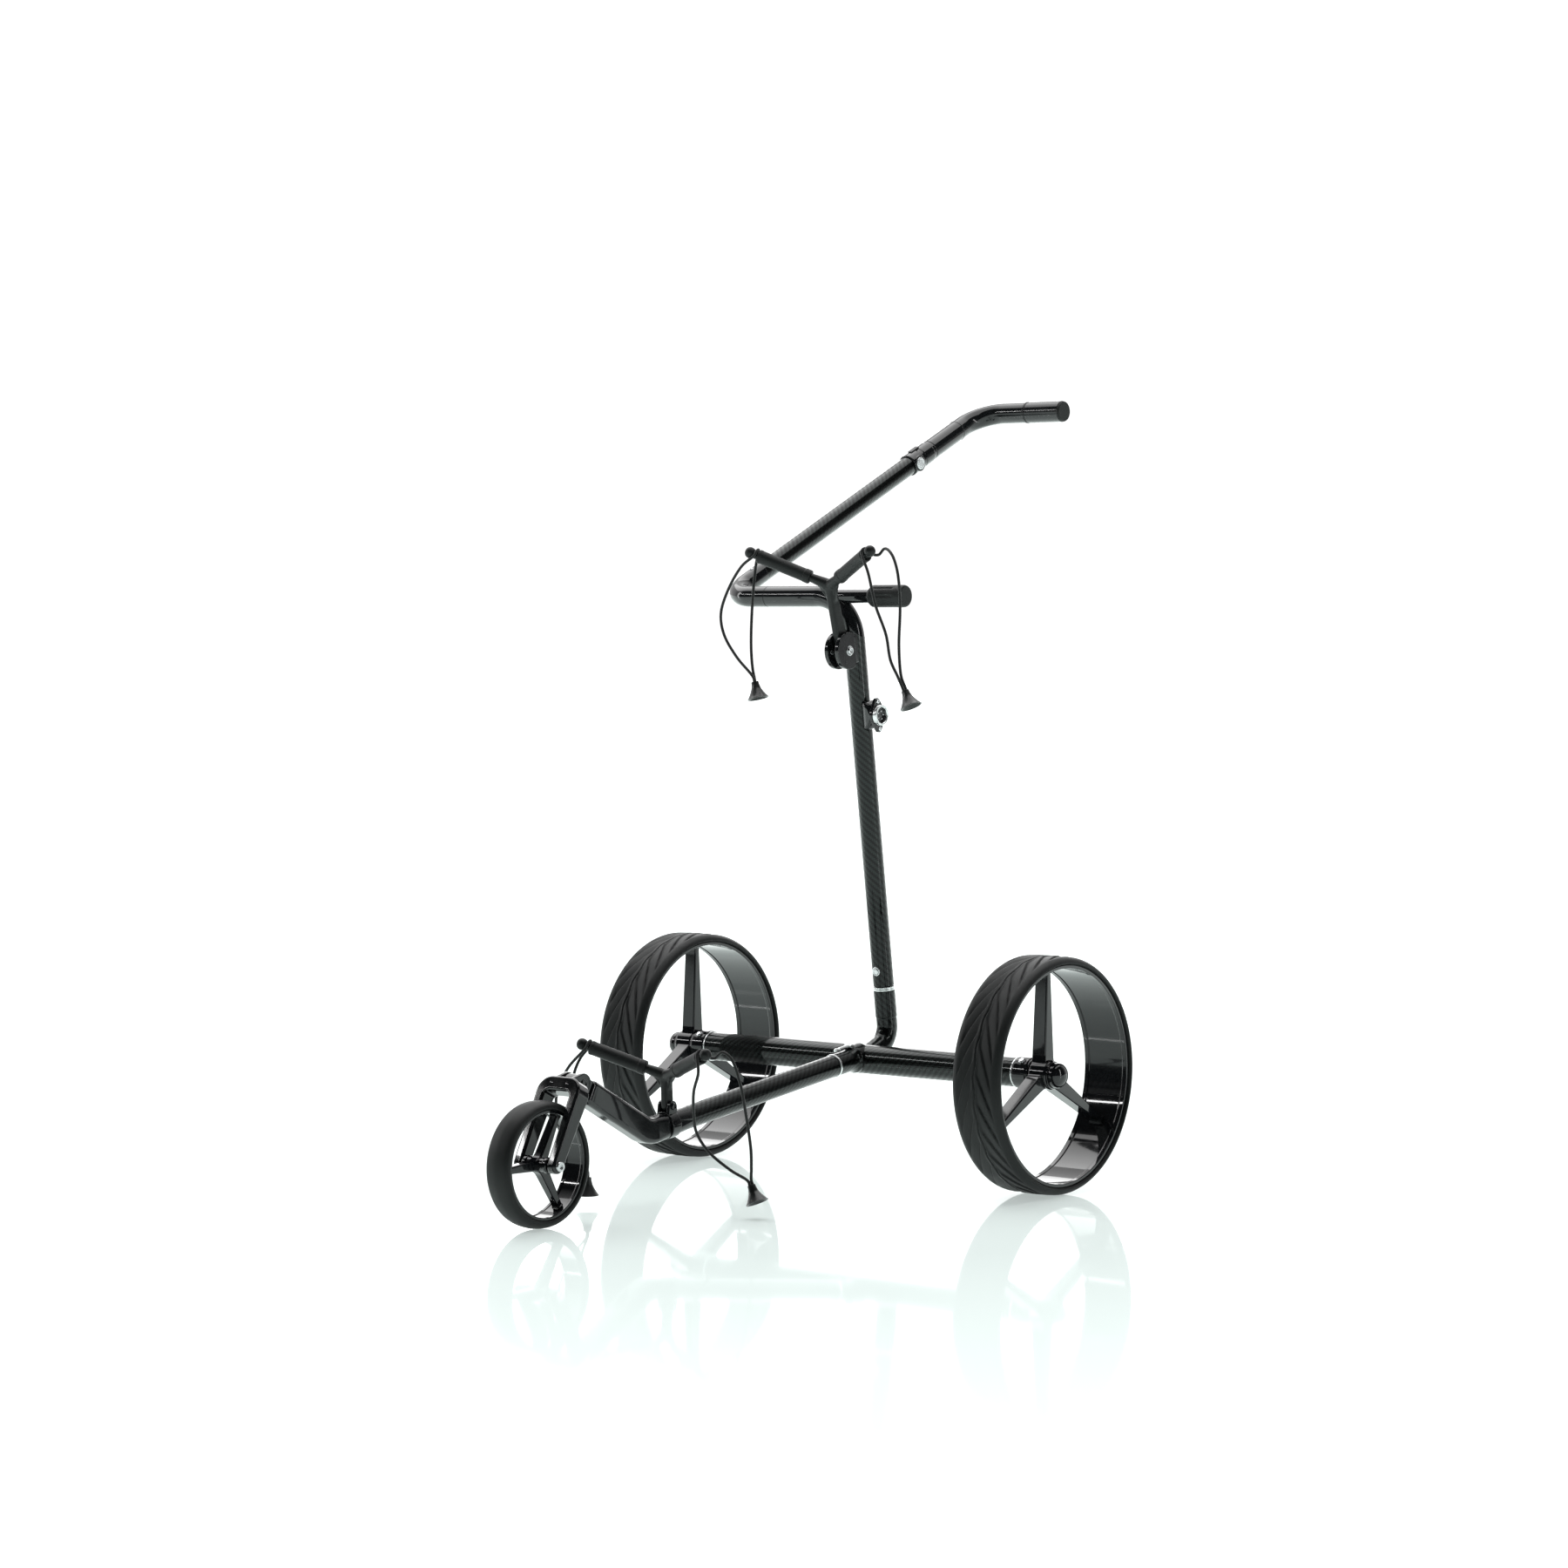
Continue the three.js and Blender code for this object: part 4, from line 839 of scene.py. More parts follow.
def front_wheel():
    """The small rim, raked with the fork, and its smooth tyre."""
    centre = vec(0, FRONT_Y, FRONT_R)
    rim = FRONT_OPENING_R + 2.2
    barrel = [(FRONT_OPENING_R, -14.4), (rim + 1.1, -14.4), (rim + 1.1, -12.8), (rim, -12.8), (rim, 12.8),
              (rim + 1.1, 12.8), (rim + 1.1, 14.4), (FRONT_OPENING_R, 14.4), (FRONT_OPENING_R, 10.6),
              (FRONT_OPENING_R + 0.8, 9.8), (FRONT_OPENING_R + 0.8, -9.8), (FRONT_OPENING_R, -10.6)]
    hub = [(4.3, -18.3), (8.4, -18.3), (9.2, -17.2), (9.2, -13.2), (8.2, -12.2), (8.2, 12.2), (9.2, 13.2),
           (9.2, 17.2), (8.4, 18.3), (4.3, 18.3)]
    spoke = dict(inner=5, outer=58.8, wide=13, narrow=7, mid=0, half=6, flare=1.4)
    spoked_rim("front_rim", wheel_point(centre, 1, FORK_RAKE), 1, centre, barrel, hub, spoke, 120)
    flank = [(rim + GAP, 12.2), (rim + 1.4, 12.4), (rim + 1.6, 15.6), (rim + 2.6, 16.7),
             (rim + 4.2, FRONT_TYRE_HALF), (FRONT_R - 4.4, 16.2), (FRONT_R - 2.4, 13.8),
             (FRONT_R - 1.2, 10.4), (FRONT_R - 0.45, 6), (FRONT_R - 0.1, 2.4)]
    outline = flank + [(FRONT_R, 0.9), (FRONT_R, -0.9)] + [(r, -h) for r, h in reversed(flank)]
    lathe("front_tyre_band", "front_tyre", outline, centre, X, 144, 1.5, sharp=50)


for side, s in SIDES:
    rear_wheel(side, s)
front_wheel()


# ------------------------------------------------------------------ keel
keel_back = KEEL_LINE[0]
keel_down = (KEEL_LINE[1] - keel_back).normalized()


def keel_at(y):
    """The point of the keel's straight rear part with that Y."""
    return keel_back + keel_down * ((y - keel_back.y) / keel_down.y)


def keel_tube():
    """Round at the back, flat-sided from the elbow forward, with a tongue in the fork's hinge."""
    path = bent([keel_at(-330), KEEL_LINE[1], KEEL_LINE[2]], 34, radians(2.5))
    start = [keel_back, keel_back + keel_down * 0.6]
    ahead = (KEEL_LINE[2] - KEEL_LINE[1]).normalized()
    path = path[:-1] + [KEEL_LINE[2] - ahead * d for d in (12, 6, 2, 0)]
    round_section = oval(KEEL_R, KEEL_R)
    flat_section = block(*KEEL_HALF, 5.5)
    sections = []
    for p in path:
        change = smooth_step((-340 - p.y) / 42)
        sections.append([(a[0] + (b[0] - a[0]) * change, a[1] + (b[1] - a[1]) * change)
                         for a, b in zip(round_section, flat_section)])
    for k, ease in ((-1, 0.86), (-2, 0.97)):
        sections[k] = [(u * ease, v * ease) for u, v in sections[k]]
    eased = [(u * 0.96, v * 0.96) for u, v in round_section]
    form = Form().skin(rings_along(start + path, [eased, round_section] + sections))
    spigot = [(0, 0), (9.4, 0), (10, 1.4), (10, 41), (0, 41)]
    turned(spigot, keel_at(-21.5), keel_down, 48, edge=0.5, form=form)
    back = KEEL_LINE[2] - ahead * 4
    reach = FORK_PIVOT - back
    long = reach.length
    reach.normalize()
    up = vec(0, reach.z, -reach.y)
    prism(capsule(13, 10.5, long), 16.6,
          lambda u, v, w: back + up * u + reach * v + X * (w - 8.3), bevel=1.6, form=form)
    piece = finish(form.object("keel_skin"), "keel_tube", sharp=40)
    return plain_where(piece, lambda x, y, z: y < KEEL_SMOOTH_Y)


def keel_socket():
    """The sleeve on the axle that takes the keel's spigot, and its bright ring."""
    socket = [(10.3, 2), (17.4, 2), (17.2, 19), (15.2, 22), (13.9, 27), (13.5, 33), (13.5, 54.5),
              (10.3, 54.5)]
    lathe("keel_socket_sleeve", "keel_socket", socket, keel_at(0), keel_down, 72, 2.5)
    ring = [(10.3, 0), (14.2, 0), (14.2, 3), (10.3, 3)]
    lathe("keel_ring_band", "keel_ring", ring, keel_at(-54.3), keel_down, 72, 0.6)


def keel_latch():
    """A pull pin that lies on the socket, with a cross pin at its rear and a thumb bead in front."""
    top = vec(0, keel_down.z, -keel_down.y).normalized()
    lift = 17.1
    back, front = keel_at(-21) + top * lift, keel_at(-50) + top * lift
    reach = (front - back).length
    bead = [(0, 0), (1.6, 0), (2.4, 1.2), (2.4, reach - 8), (1.7, reach - 6.6), (1.7, reach - 5),
            (2.6, reach - 4), (2.6, reach - 1), (1.8, reach), (0, reach)]
    form = turned(bead, back, front - back, 32, edge=0.6)
    cross = [(0, 0), (2.7, 0), (2.7, 2.2), (2.2, 3), (2.2, 8), (2.7, 8.8), (2.7, 11), (0, 11)]
    turned(cross, keel_at(-23) + top * lift - X * 5.5, X, 32, edge=0.5, form=form)
    return finish(form.object("keel_latch_pin"), "keel_latch")


keel_tube()
keel_socket()
keel_latch()


# ------------------------------------------------------------------ fork
front_axle = vec(0, FRONT_Y, FRONT_R)
leg_up = vec(0, sin(FORK_RAKE), cos(FORK_RAKE))
leg_fore = vec(0, -cos(FORK_RAKE), sin(FORK_RAKE))


def on_fork(x, v, w):
    """X across, v up the legs and w ahead of them, from the front axle."""
    return front_axle + leg_up * v + leg_fore * w + X * x


def fork():
    """One swept bar: up one leg, over the bridge and down the other, with two lugs for the hinge."""
    mid_x, top_v = (FORK_OUT + FORK_IN) / 2, 93.5
    tip_r = 8.5
    corners = [on_fork(mid_x, -tip_r, 0), on_fork(mid_x, top_v, 0), on_fork(-mid_x, top_v, 0),
               on_fork(-mid_x, -tip_r, 0)]
    arch = bent(corners, 13, radians(5))
    rounded_tip = [tip_r - tip_r * cos(pi / 2 * k / 10) for k in range(10)]
    leg = rounded_tip + [16, 40, 64]
    path = [on_fork(mid_x, d - tip_r, 0) for d in leg] + arch[1:-1]
    path += [on_fork(-mid_x, d - tip_r, 0) for d in reversed(leg)]
    sections = []
    for p in path:
        v = (p - front_axle).dot(leg_up)
        half_w = tip_r + 2.3 * clamp(v / 92)
        if v < 0:
            half_w = max(sqrt(max(tip_r ** 2 - v ** 2, 0)), 0.8)
        thick = 6 + 2.6 * clamp((v - 78) / 14)
        sections.append(block(half_w, thick, 3.2))
    form = Form().skin(rings_along(path, sections, leg_fore))
    back = FORK_PIVOT.copy()
    reach = on_fork(0, 94, 2) - back
    long = reach.length
    reach.normalize()
    up = vec(0, reach.z, -reach.y)
    for x in (8.6, -14.6):
        prism(capsule(12, 9, long, 18), 6, lambda u, v, w, x=x: back + up * u + reach * v + X * (x + w),
              bevel=1.2, form=form)
    return finish(form.object("fork_bar"), "fork", sharp=40)


def socket_bolt(name, centre, head, height, body_depth, recess, slot=None):
    """A round-headed bolt on its own body, with a hexagon socket and a washer step."""
    shank, floor = head * 0.66, height * 0.35
    profile = [(0, -body_depth), (shank, -body_depth), (shank, 0), (head, 0), (head, height * 0.55),
               (head * 0.9, height), (recess, height), (recess * 0.96, floor), (0, floor)]
    return lathe(name + "_head", name, profile, centre, X, 48, 0.35, slot=slot)


fork()
socket_bolt("front_axle_bolt", on_fork(FORK_OUT + GAP, 0, 0), 6, 3.3, 40, 2.9)
socket_bolt("fork_pivot_pin", FORK_PIVOT + X * 14.6, 5.4, 1.6, 28, 2.6, "gloss_black")


# ------------------------------------------------------------------ mast
def mast_at(z):
    """The point of the leaning mast's axis at that height."""
    return vec(0, MAST_TOP_Y + MAST_LEAN * (MAST_TOP_Z - z), z)


mast_up = (mast_at(1) - mast_at(0)).normalized()
mast_front = vec(0, -mast_up.z, mast_up.y)


def cross_at(x):
    """The point of the cross tube's axis with that X."""
    return vec(x, MAST_TOP_Y, MAST_TOP_Z)


def mast_foot():
    """The bend that rises from the axle, with a collar and the spigot for the mast."""
    path = bent([vec(0, 5, 140), vec(0, 53, 160), mast_at(FOOT_COLLAR)], 26)
    form = tube(path, MAST_R, edge=0.6)
    collar = [(0, 0), (MAST_R, 0), (MAST_R + 0.5, 1.2), (MAST_R + 0.5, 33.2), (MAST_R, 33.6), (0, 33.6)]
    turned(collar, mast_at(FOOT_TOP - 0.6), mast_up, 64, edge=0.5, form=form)
    long = (mast_at(FOOT_SPIGOT) - mast_at(FOOT_COLLAR)).length
    spigot = [(0, -6), (SPIGOT_R, -6), (SPIGOT_R, long - 1.6), (SPIGOT_R - 1.2, long), (0, long)]
    turned(spigot, mast_at(FOOT_COLLAR), mast_up, 48, edge=0.3, form=form)
    finish(form.object("mast_foot_bend"), "mast_foot")
    ring = [(SPIGOT_R + GAP, 0), (13.9, 0), (13.9, 1.6), (13.1, 1.9), (13.1, 2.6), (13.9, 2.9), (13.9, 4.5),
            (SPIGOT_R + GAP, 4.5)]
    lathe("mast_ring_band", "mast_ring", ring, mast_at(FOOT_COLLAR + GAP), mast_up, 72, 0.35)


def mast_tube():
    """The mast, its bend into the cross tube and the snap button near its foot."""
    path = bent([mast_at(FOOT_COLLAR + 5.4), cross_at(0), cross_at(CROSS_END)], 50)
    form = tube(path, MAST_R, SPIGOT_R + GAP, ROD_R + GAP, deep=58, edge=0.6)
    piece = finish(form.object("mast_skin"), "mast_tube")
    plain_where(piece, lambda x, y, z: z > MAST_SMOOTH_Z)
    seat = mast_at(FOOT_BUTTON) + mast_front * MAST_R
    eyelet("mast_button_eyelet", seat, mast_front, 4.25, 5.6, 0.6, "mast", "steel")
    snap_button("mast_button", seat, mast_front, 4, 0.5, 1.5)


def release_rod():
    """The rod inside the cross tube, which the knob pulls."""
    profile = [(0, 0), (ROD_R, 0), (ROD_R, ROD_LONG), (0, ROD_LONG)]
    lathe("release_rod_bar", "release_rod", profile, cross_at(ROD_FROM), X, 56, 0.5)


def knob():
    """A turned rubber knob with eight lengthwise flutes and a rounded nose at the outer end."""
    profile = [(0, 0), (9, 0), (10.2, 0.5), (13.2, 4.6), (13.5, 6.4)]
    profile += [(13.5, x) for x in range(8, 49, 2)]
    profile += [(13.3, 50.6), (12.6, 52.3), (11, 53), (0, 53)]
    rounded = [p for p in soften(profile, 0.6, closed=False) if p[0] > 0]
    flutes, segments = 8, 160
    rings = []
    for r, h in rounded:
        rise = smooth_step(clamp((h - 9) / 3) * clamp((41 - h) / 3))
        ring = []
        for k in range(segments):
            a = 2 * pi * k / segments
            away = abs((a / (2 * pi / flutes) + 0.5) % 1 - 0.5)
            flute = max(0.0, 1 - (away / 0.19) ** 2)
            here = r - 1.1 * flute * rise
            ring.append(cross_at(KNOB_FROM + h) + vec(0, here * cos(a), here * sin(a)))
        rings.append(ring)
    return finish(Form().skin(rings).object("release_knob_grip"), "release_knob", sharp=50)


mast_foot()
mast_tube()
release_rod()
knob()


# ------------------------------------------------------------------ accessory socket
def on_mast(x, y, z):
    """X outboard, Y backward and Z up the mast, from the mast's axis at the socket's height."""
    return mast_at(SOCKET_Z) + X * x - mast_front * y + mast_up * z


def flange_outline(plate_r, lobe_r, lobe_at):
    """A round plate with a lobe above and a lobe below, as (Y, up) pairs."""
    lean = asin((plate_r - lobe_r) / lobe_at)
    arcs = (
        (-lean, lean, plate_r, 0), (lean, pi - lean, lobe_r, lobe_at),
        (pi - lean, pi + lean, plate_r, 0), (pi + lean, 2 * pi - lean, lobe_r, -lobe_at),
    )
    outline = []
    for start, stop, radius, centre in arcs:
        for k in range(17):
            a = start + (stop - start) * k / 16
            outline.append((radius * cos(a), centre + radius * sin(a)))
    ahead = outline[1:] + outline[:1]
    return [p for p, q in zip(outline, ahead) if abs(p[0] - q[0]) + abs(p[1] - q[1]) > 0.01]


def accessory_socket():
    """A housing that grows from the mast to a flange, with a bright ring, an insert, screws and pins."""
    stations = [(9, 8.2, 17.2, 4), (12, 11.2, 17.6, 4.5), (16, 12.6, 17.2, 6), (20, 12.8, 16, 8),
                (22.4, 13.2, 14.4, 12), (23.6, 13.4, 13.6, 13.3)]
    rings = [[on_mast(x, u, v) for u, v in block(hy, hz, c, 64)] for x, hy, hz, c in stations]
    form = Form().skin(rings)
    lobe_at, face = 15.6, 27.6
    flange = flange_outline(13.6, 5.4, lobe_at)
    prism(flange, 4, lambda u, v, w: on_mast(23.3 + w, u, v), bevel=0.7, form=form)
    finish(form.object("socket_base_body"), "socket_base", sharp=40)
    head = [(0, -1), (2.5, -1), (2.7, 0.3), (2.4, 0.9), (1.6, 1.2), (1.1, 1.2), (1.0, 0.5), (0, 0.5)]
    for end, way in (("top", 1), ("bottom", -1)):
        seat = on_mast(face, 0, way * (lobe_at + 1))
        lathe(f"socket_screw_{end}_head", f"socket_screw_{end}", head, seat, X, 36, 0.25)
    ring = [(9.4, -0.2), (12.3, -0.2), (12.5, 0.3), (12.5, 2.4), (12.1, 2.8), (12.1, 3.2), (12.5, 3.6),
            (12.5, 5.0), (12.0, 5.6), (10.3, 5.6), (9.4, 4.6)]
    lathe("socket_ring_band", "socket_ring", ring, on_mast(face, 0, 0), X, 80, 0.3)
    insert = [(0, 0), (9.1, 0), (9.1, 1.6), (7.6, 1.6), (7.4, 1.1), (0, 1.1)]
    lathe("socket_insert_disc", "socket_insert", insert, on_mast(face, 0, 0), X, 56, 0.2)
    pins, pin_circle = 5, 5
    pin = [(0, 0), (0.9, 0), (0.9, 1.8), (0.5, 2.3), (0, 2.3)]
    for k in range(pins):
        a = 2 * pi * k / pins
        seat = on_mast(face + 1, pin_circle * cos(a), pin_circle * sin(a))
        lathe(f"socket_pin_{k + 1}", None, pin, seat, X, 20, 0.2, body="mast", slot="steel")


accessory_socket()


# ------------------------------------------------------------------ handle
arm_low = vec(ARM_X, MAST_TOP_Y, MAST_TOP_Z)
arm_high = vec(ARM_X, *ARM_TOP)
arm_up = (arm_high - arm_low).normalized()
arm_over = vec(0, -arm_up.z, arm_up.y)


def arm_at(y):
    """The point of the rising arm's axis with that Y."""
    return arm_low + arm_up * ((y - arm_low.y) / arm_up.y)


def lower_tube():
    """The elbow that turns on the cross tube and the arm that rises from it, with the elbow's screw."""
    elbow = bent([cross_at(CROSS_END - GAP), arm_low, arm_at(ELBOW_END)], 36)
    form = tube(elbow, MAST_R, ROD_R + GAP, 0, deep=11, edge=0.6, first=Z)
    tube([arm_at(y) for y in (ELBOW_END - 8, ELBOW_END + 10, ARM_END - 10, ARM_END)], ARM_R, form=form)
    piece = finish(form.object("handle_lower_skin"), "handle_lower_tube")
    plain_where(piece, lambda x, y, z: y < ELBOW_END - 2)
    screw = [(0, 0), (2.6, 0), (2.8, 0.8), (2.0, 1.4), (1.2, 1.4), (1.1, 0.7), (0, 0.7)]
    seat = arm_at(27) + arm_over * (MAST_R - 0.5)
    lathe("elbow_screw", None, screw, seat, arm_over, 32, 0.25, body="handle_arm", slot="steel")


def handle_collar():
    """The stepped collar on the upper tube, with the button's hole and rim and a tab on top."""
    long = (arm_at(COLLAR_TO) - arm_at(COLLAR_FROM)).length
    bore = ARM_R + GAP
    proud, waist = COLLAR_R + 0.3, COLLAR_R - 0.5
    profile = [(bore, 0), (COLLAR_R - 0.8, 0), (proud, 1.2), (proud, 18.5), (waist, 20.5), (waist, 25),
               (COLLAR_R, 26.5), (COLLAR_R, 44), (waist, 45.4), (waist, long - 1.4), (COLLAR_R - 1, long),
               (bore, long)]
    shell = turned(profile, arm_at(COLLAR_FROM), arm_up, 80, edge=0.7).object("handle_collar_shell")
    centre = arm_at(BUTTON_AT)
    hole = turned([(0, 0), (8.5, 0), (8.5, 20), (0, 20)], centre, X, 64, edge=0.1)
    carve(shell, hole.object("button_hole"))
    boss = [(8.35, 12.75), (10.6, 12.75), (10.3, 14.4), (9.6, 15), (8.7, 15), (8.35, 14.6)]
    form = turned(boss, centre, X, 56, edge=0.4)
    tab = soften([(-3.4, -9), (3.4, -9), (3.4, 9), (-3.4, 9)], 1.8)
    seat = arm_at(BUTTON_AT + 10) + arm_over * 12.4
    prism(tab, 3.4, lambda u, v, w: seat + X * u + arm_up * v + arm_over * w, bevel=0.9, form=form)
    return finish(join(shell, form.object("handle_collar_trim")), "handle_collar", sharp=45)


def handle_button():
    """The round button in the collar's hole, with a ring around its face."""
    profile = [(0, 0), (8, 0), (8, 1.1), (7.3, 1.8), (5.6, 1.9), (5.3, 1.4), (4.7, 1.4), (4.4, 1.8),
               (0, 1.8)]
    lathe("handle_button_cap", "handle_button", profile, arm_at(BUTTON_AT) + X * 14.2, X, 64, 0.3)


def upper_tube():
    """The upper tube, with the raised band of its seam."""
    path = bent([arm_at(COLLAR_TO + GAP), arm_high, vec(-113, *ARM_TOP)], 42, radians(3))
    form = tube(path, UPPER_R, ARM_R + GAP, 0, deep=72, edge=0.5)
    band_r = UPPER_R + 0.35
    band = [(13, 0), (UPPER_R + 0.15, 0), (band_r, 0.5), (band_r, 2.2), (UPPER_R - 0.1, 3), (13, 3)]
    turned(band, arm_at(SEAM), arm_up, 72, edge=0.3, form=form)
    return finish(form.object("handle_upper_skin"), "handle_upper_tube", slot="gloss_black")


def grip():
    """The lacquered grip between its grooved ring and its rubber cap."""
    low, high, long = UPPER_R + 0.3, UPPER_R + 0.7, GRIP_TO - GRIP_FROM
    ring = [(0, 0), (UPPER_R + 0.4, 0), (high, 0.4), (high, 1.0), (low, 1.3), (low, 1.7), (high, 2.0),
            (high, 2.7), (UPPER_R + 0.4, 3), (0, 3)]
    lathe("grip_ring_band", "grip_ring", ring, vec(-112.7, *ARM_TOP), X, 72, 0.25, slot="gloss_black")
    sleeve = [(0, 0), (13.8, 0), (13.8, long), (0, long)]
    lathe("grip_sleeve", "grip", sleeve, vec(GRIP_FROM, *ARM_TOP), X, 80, 0.9, slot="gloss_black",
          material=GRIP)
    cap = [(0, 0), (13.2, 0), (13.4, 1.2), (12.8, 2.6), (11.8, 3.2), (11.2, 3.0), (0, 3.0)]
    lathe("grip_cap_disc", "grip_cap", cap, vec(GRIP_TO + GAP, *ARM_TOP), X, 72, 0.5,
          material=MATERIALS["rubber"])


lower_tube()
handle_collar()
handle_button()
upper_tube()
grip()


# ------------------------------------------------------------------ cradles
def cradle_piece(level, facts):
    """A moulded Y: a flat post that spreads into two round arms."""
    base, joint = Vector(facts["pivot"]), Vector(facts["joint"])
    rise = joint - base
    height = rise.length
    rise.normalize()
    across = vec(0, rise.z, -rise.y)
    form = prism(capsule(facts["foot"], 6.2, height), 9.2,
                 lambda u, v, w: base + across * u + rise * v + X * (w - 4.6), bevel=1.6)
    turned([(0, -8.6), (7.6, -8.6), (7.6, 8.6), (0, 8.6)], joint, X, 40, edge=2.5, form=form)
    for _, s in SIDES:
        _, along, _, _ = arm_frame(facts, s)
        root = [(0, 0), (7.4, 0), (6.6, 10), (5.4, 24), (5.2, 40), (0, 40)]
        turned(root, joint, along, 40, edge=1, form=form)
        waist = joint - rise * min(22, height * 0.5) + X * 4 * s
        web = [joint - rise * 2, joint + along * 19, waist]
        form.skin([[p + across * w for p in web] for w in (-3.4, -2.8, 2.8, 3.4)])
    piece = moulded(form.object(f"{level}_cradle_body"), 0.9, 10)
    rods = Form()
    for _, s in SIDES:
        _, along, _, _ = arm_frame(facts, s)
        profile = [(0, 30), (CRADLE_ROD_R, 30), (CRADLE_ROD_R, 101.6), (6.0, 102.8), (6.7, 104.8), (7, BALL),
                   (6.7, 109), (5.7, 111), (3.9, 112.6), (2, 113.2), (0, 113.4)]
        turned(profile, joint, along, 48, edge=0.8, form=rods)
    ends = rods.object(f"{level}_cradle_ends")
    return finish(join(piece, ends), f"{level}_cradle", material=MOULDED, sharp=60, weighted=False)


def sleeve_piece(level, facts, side, s):
    """The soft sleeve on one arm, with a bead at each end."""
    joint, along, _, _ = arm_frame(facts, s)
    bore, long = CRADLE_ROD_R + GAP, SLEEVE[1] - SLEEVE[0]
    profile = [(bore, 0), (7.6, 0), (SLEEVE_R, 0.9), (SLEEVE_R, 7.5), (8.0, 8.4), (8.0, long - 5),
               (8.3, long - 3.6), (8.3, long - 0.8), (7.4, long), (bore, long)]
    name = f"{level}_sleeve_{side}"
    lathe(name + "_grip", name, profile, joint + along * SLEEVE[0], along, 64, 0.8)


for level, facts in CRADLES.items():
    cradle_piece(level, facts)
    for side, s in SIDES:
        sleeve_piece(level, facts, side, s)


# ------------------------------------------------------------------ clevises
def upper_clevis():
    """Two D-shaped cheeks on a saddle that hugs the front of the mast."""
    pivot = Vector(CRADLES["upper"]["pivot"])
    near, far, radius = 5.2, 10.6, 22.5
    outline = []
    for k in range(49):
        a = -0.66 * pi + 1.32 * pi * k / 48
        outline.append((radius * cos(a), radius * sin(a)))
    outline = soften(outline, 2.0)
    form = Form()
    for x in (near, -far):
        prism(outline, far - near, lambda u, v, w, x=x: pivot + mast_front * u + mast_up * v + X * (x + w),
              bevel=0.9, form=form)
    saddle = soften([(-10.4, -17.5), (10.4, -17.5), (10.4, 17.5), (-10.4, 17.5)], 3)
    base = pivot - mast_front * 17.4
    prism(saddle, 6, lambda u, v, w: base + X * u + mast_up * v + mast_front * w, bevel=1.2, form=form)
    finish(form.object("upper_clevis_cheeks"), "upper_clevis", sharp=45)
    small = dict(body="mast", slot="steel")
    spacer = [(3.4, -5.1), (8.2, -5.1), (8.2, -4.7), (3.4, -4.7)]
    for side, shift in (("left", 9.8), ("right", 0)):
        lathe(f"upper_pivot_washer_{side}", None, spacer, pivot + X * shift, X, 48, 0.15, **small)
    socket_bolt("upper_pivot_bolt", pivot + X * (far + GAP), 4.6, 2.7, 21.5, 2.4)
    cup = [(4.9, -0.5), (6.1, -0.5), (6.1, 0.5), (4.9, 0.5)]
    lathe("upper_pivot_cup", None, cup, pivot + X * (far + 0.1), X, 48, 0.2, **small)
    pin_end = [(0, -0.3), (2.8, -0.3), (2.8, 0.1), (2.2, 0.4), (0, 0.4)]
    lathe("upper_clevis_pin_end", None, pin_end, pivot + mast_front * 14 - X * near, X, 32, 0.15, **small)
    rivet = [(0, 0), (1.7, 0), (1.7, 0.3), (1.2, 0.3), (1.1, 0.15), (0, 0.15)]
    seat = pivot + mast_front * 8 - mast_up * 13 + X * far
    lathe("upper_clevis_rivet", None, rivet, seat, X, 28, 0.05, body="mast", slot="gloss_black")


def lower_clevis():
    """A clamp band on the keel with two small cheeks on top."""
    pivot = Vector(CRADLES["lower"]["pivot"])
    under = keel_at(pivot.y)
    band = [(KEEL_R + 0.1, -7), (KEEL_R + 3, -7), (KEEL_R + 3, 7), (KEEL_R + 0.1, 7)]
    form = turned(band, under, keel_down, 64, edge=0.8)
    for x in (5.2, -9.2):
        base = pivot + vec(x, 0, -12)
        prism(capsule(8, 6.5, 12), 4, lambda u, v, w, base=base: base + vec(w, u, v), bevel=0.8, form=form)
    finish(form.object("lower_clevis_clamp"), "lower_clevis", sharp=45)
    socket_bolt("lower_pivot_bolt", pivot + X * (9.2 + GAP), 4.2, 2.1, 18.5, 2.1, "gloss_black")


upper_clevis()
lower_clevis()


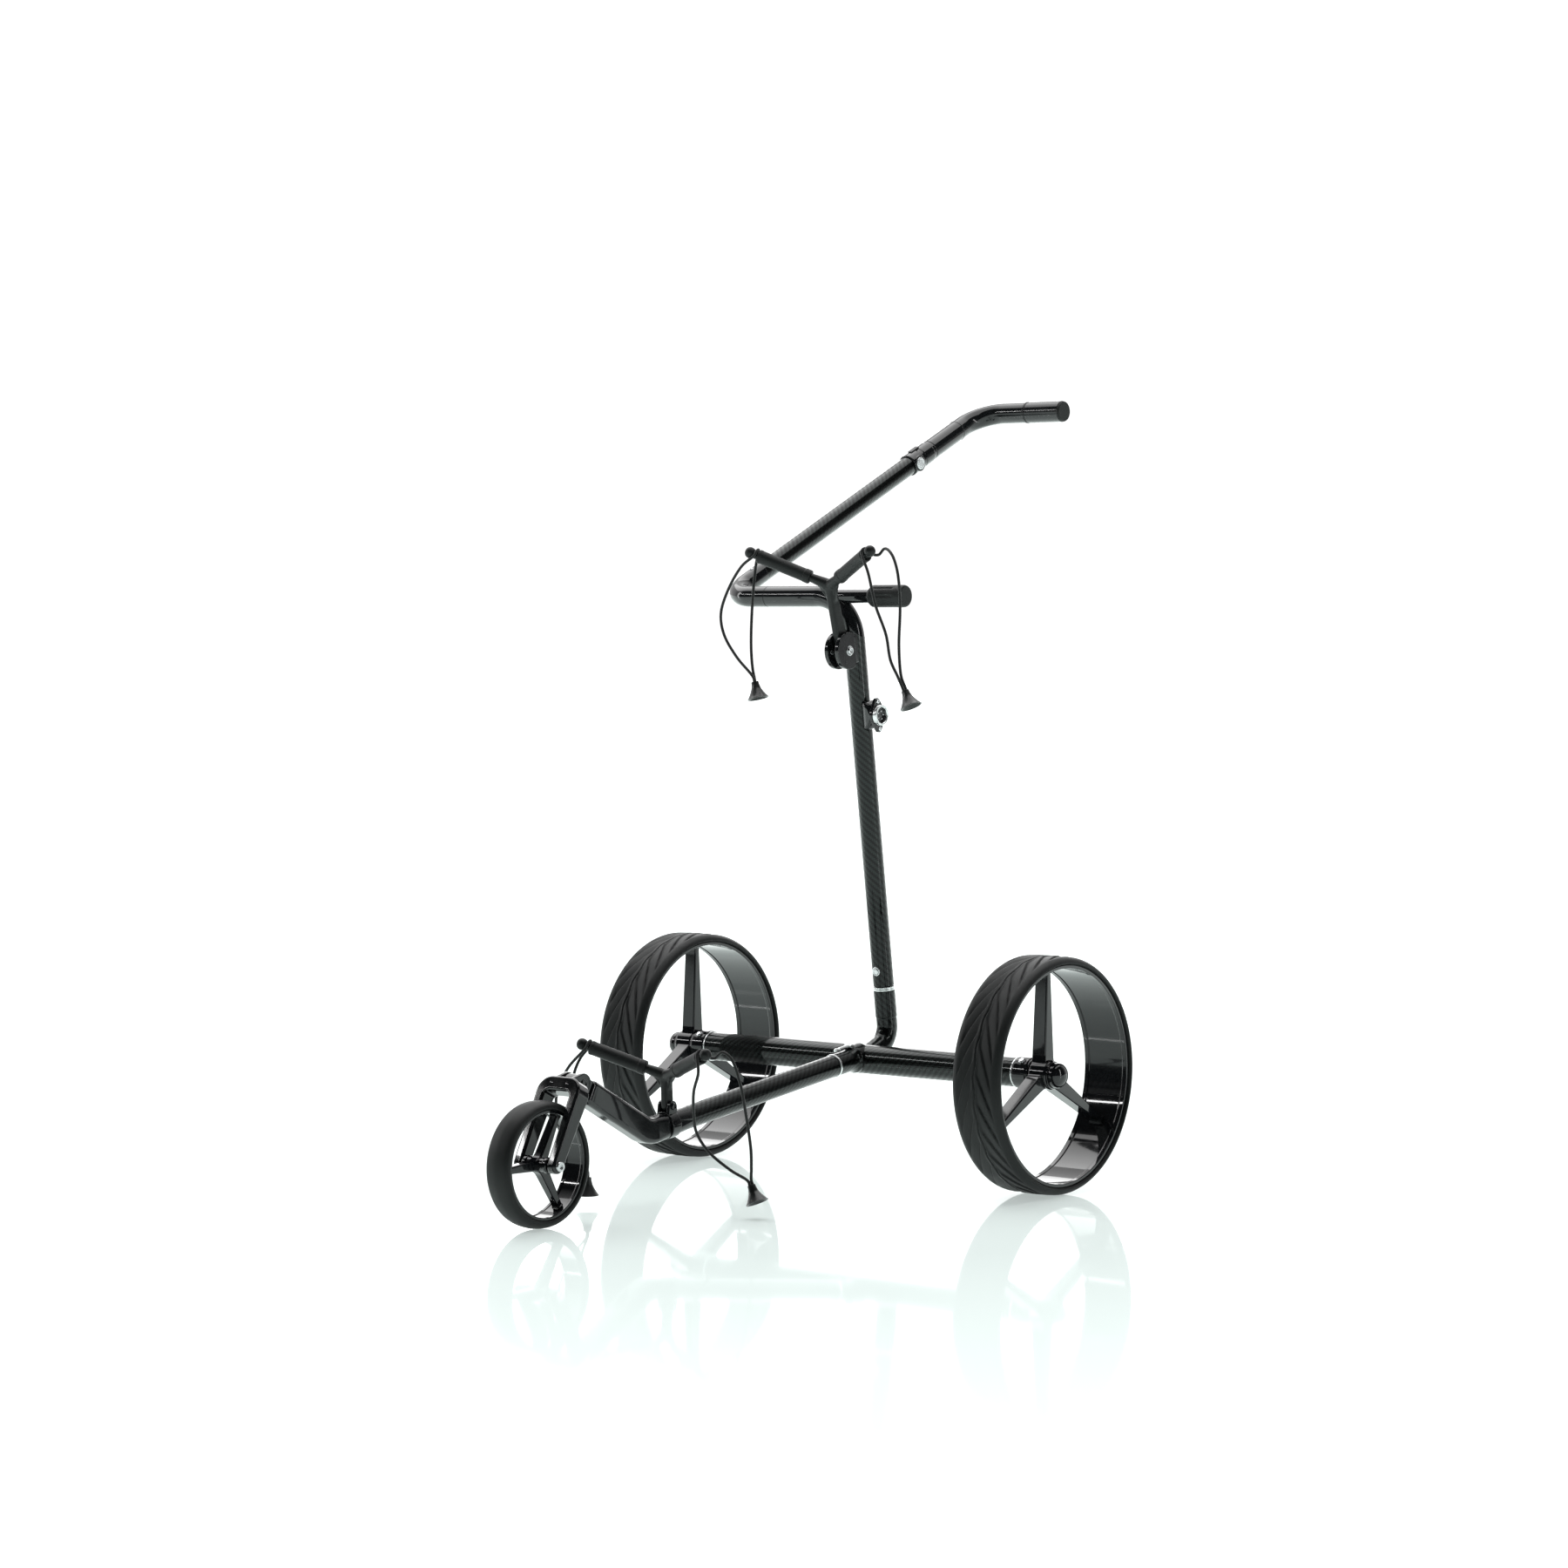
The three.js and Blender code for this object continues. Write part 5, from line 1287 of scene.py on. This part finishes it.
# ------------------------------------------------------------------ stage and light
def stage():
    """A pale glossy floor, 60 metres wide, with a painted glow (emission) that rises outward from the cart,
    so it brightens into the white background.
    """
    floor_mesh = bpy.data.meshes.new("floor")
    floor_mesh.from_pydata([(-30, -30, 0), (30, -30, 0), (30, 30, 0), (-30, 30, 0)], [], [(0, 1, 2, 3)])
    floor = bpy.data.objects.new("floor", floor_mesh)
    floor.location = (0, 0, -0.0005)
    scene.collection.objects.link(floor)
    material, tree, shader = surface("pale_floor", Roughness=0.04, Specular_IOR_Level=0.5)
    shader.inputs["Base Color"].default_value = (0.78, 0.88, 0.85, 1)
    shader.inputs["Emission Color"].default_value = (0.88, 0.96, 0.94, 1)
    place = node(tree, "ShaderNodeTexCoord").outputs["Object"]
    reach = node(tree, "ShaderNodeVectorMath", {0: place}, operation="LENGTH").outputs["Value"]
    # painted glow: the floor's emission strength rises from 0.45 within 0.6 m of the centre to 1.0 beyond 3
    # m
    painted_glow = node(tree, "ShaderNodeMapRange", {
        "Value": reach, "From Min": 0.6, "From Max": 3.0, "To Min": 0.45, "To Max": 1.0,
    }).outputs["Result"]
    tree.links.new(painted_glow, shader.inputs["Emission Strength"])
    floor_mesh.materials.append(material)
    floor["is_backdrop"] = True


def area_light(name, size, place, target, radiance):
    """A lamp that the camera does not see; sizes and places are in metres."""
    data = bpy.data.lights.new(name, "AREA")
    data.shape = "RECTANGLE"
    data.size, data.size_y = size
    data.energy = radiance * pi * size[0] * size[1]
    light = bpy.data.objects.new(name, data)
    light.location = place
    light.rotation_euler = (Vector(target) - Vector(place)).to_track_quat("-Z", "Y").to_euler()
    light.visible_camera = False
    scene.collection.objects.link(light)


def world():
    """White to look at; for light and reflections, a white wall behind the cart and a dim room elsewhere."""
    made = bpy.data.worlds.new("studio")
    made.use_nodes = True
    tree = made.node_tree
    background = tree.nodes["Background"]
    place = node(tree, "ShaderNodeTexCoord").outputs["Generated"]
    facing = node(tree, "ShaderNodeVectorMath", {0: place, 1: (-0.631, 0.775, 0.0)}, operation="DOT_PRODUCT")
    wall = node(tree, "ShaderNodeMapRange", {
        "Value": facing.outputs["Value"], "From Min": 0.1, "From Max": 0.5, "To Min": 0.02, "To Max": 1.0,
    }).outputs["Result"]
    seen = node(tree, "ShaderNodeLightPath").outputs["Is Camera Ray"]
    strength = node(tree, "ShaderNodeMix", {"Factor": seen, 2: wall, 3: 1.1}).outputs[0]
    background.inputs["Color"].default_value = (1, 1, 1, 1)
    tree.links.new(strength, background.inputs["Strength"])
    scene.world = made


scene.view_settings.view_transform = "Standard"
stage()
world()
area_light("overhead", (5.6, 3.2), (-1.4, 0.6, 3.4), (-1.4, 0.6, 0), 2.0)
area_light("camera_strip", (2.4, 0.09), (-2.6, -2.7, 2.05), (0, 0, 0.5), 26)
area_light("left_box", (0.3, 2.6), (3.2, 0.5, 1.4), (0, 0, 0.5), 6)
area_light("right_box", (0.3, 2.4), (-3.0, -1.4, 1.3), (0, 0, 0.5), 5)
area_light("back_wall", (3.5, 1.6), (-2.4, 3.6, 1.5), (0, 0, 0.4), 2)

boxes = {"cad": cad_bounds, "visual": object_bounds()}
{name: [list(corner) for corner in corners] for name, corners in boxes.items()}
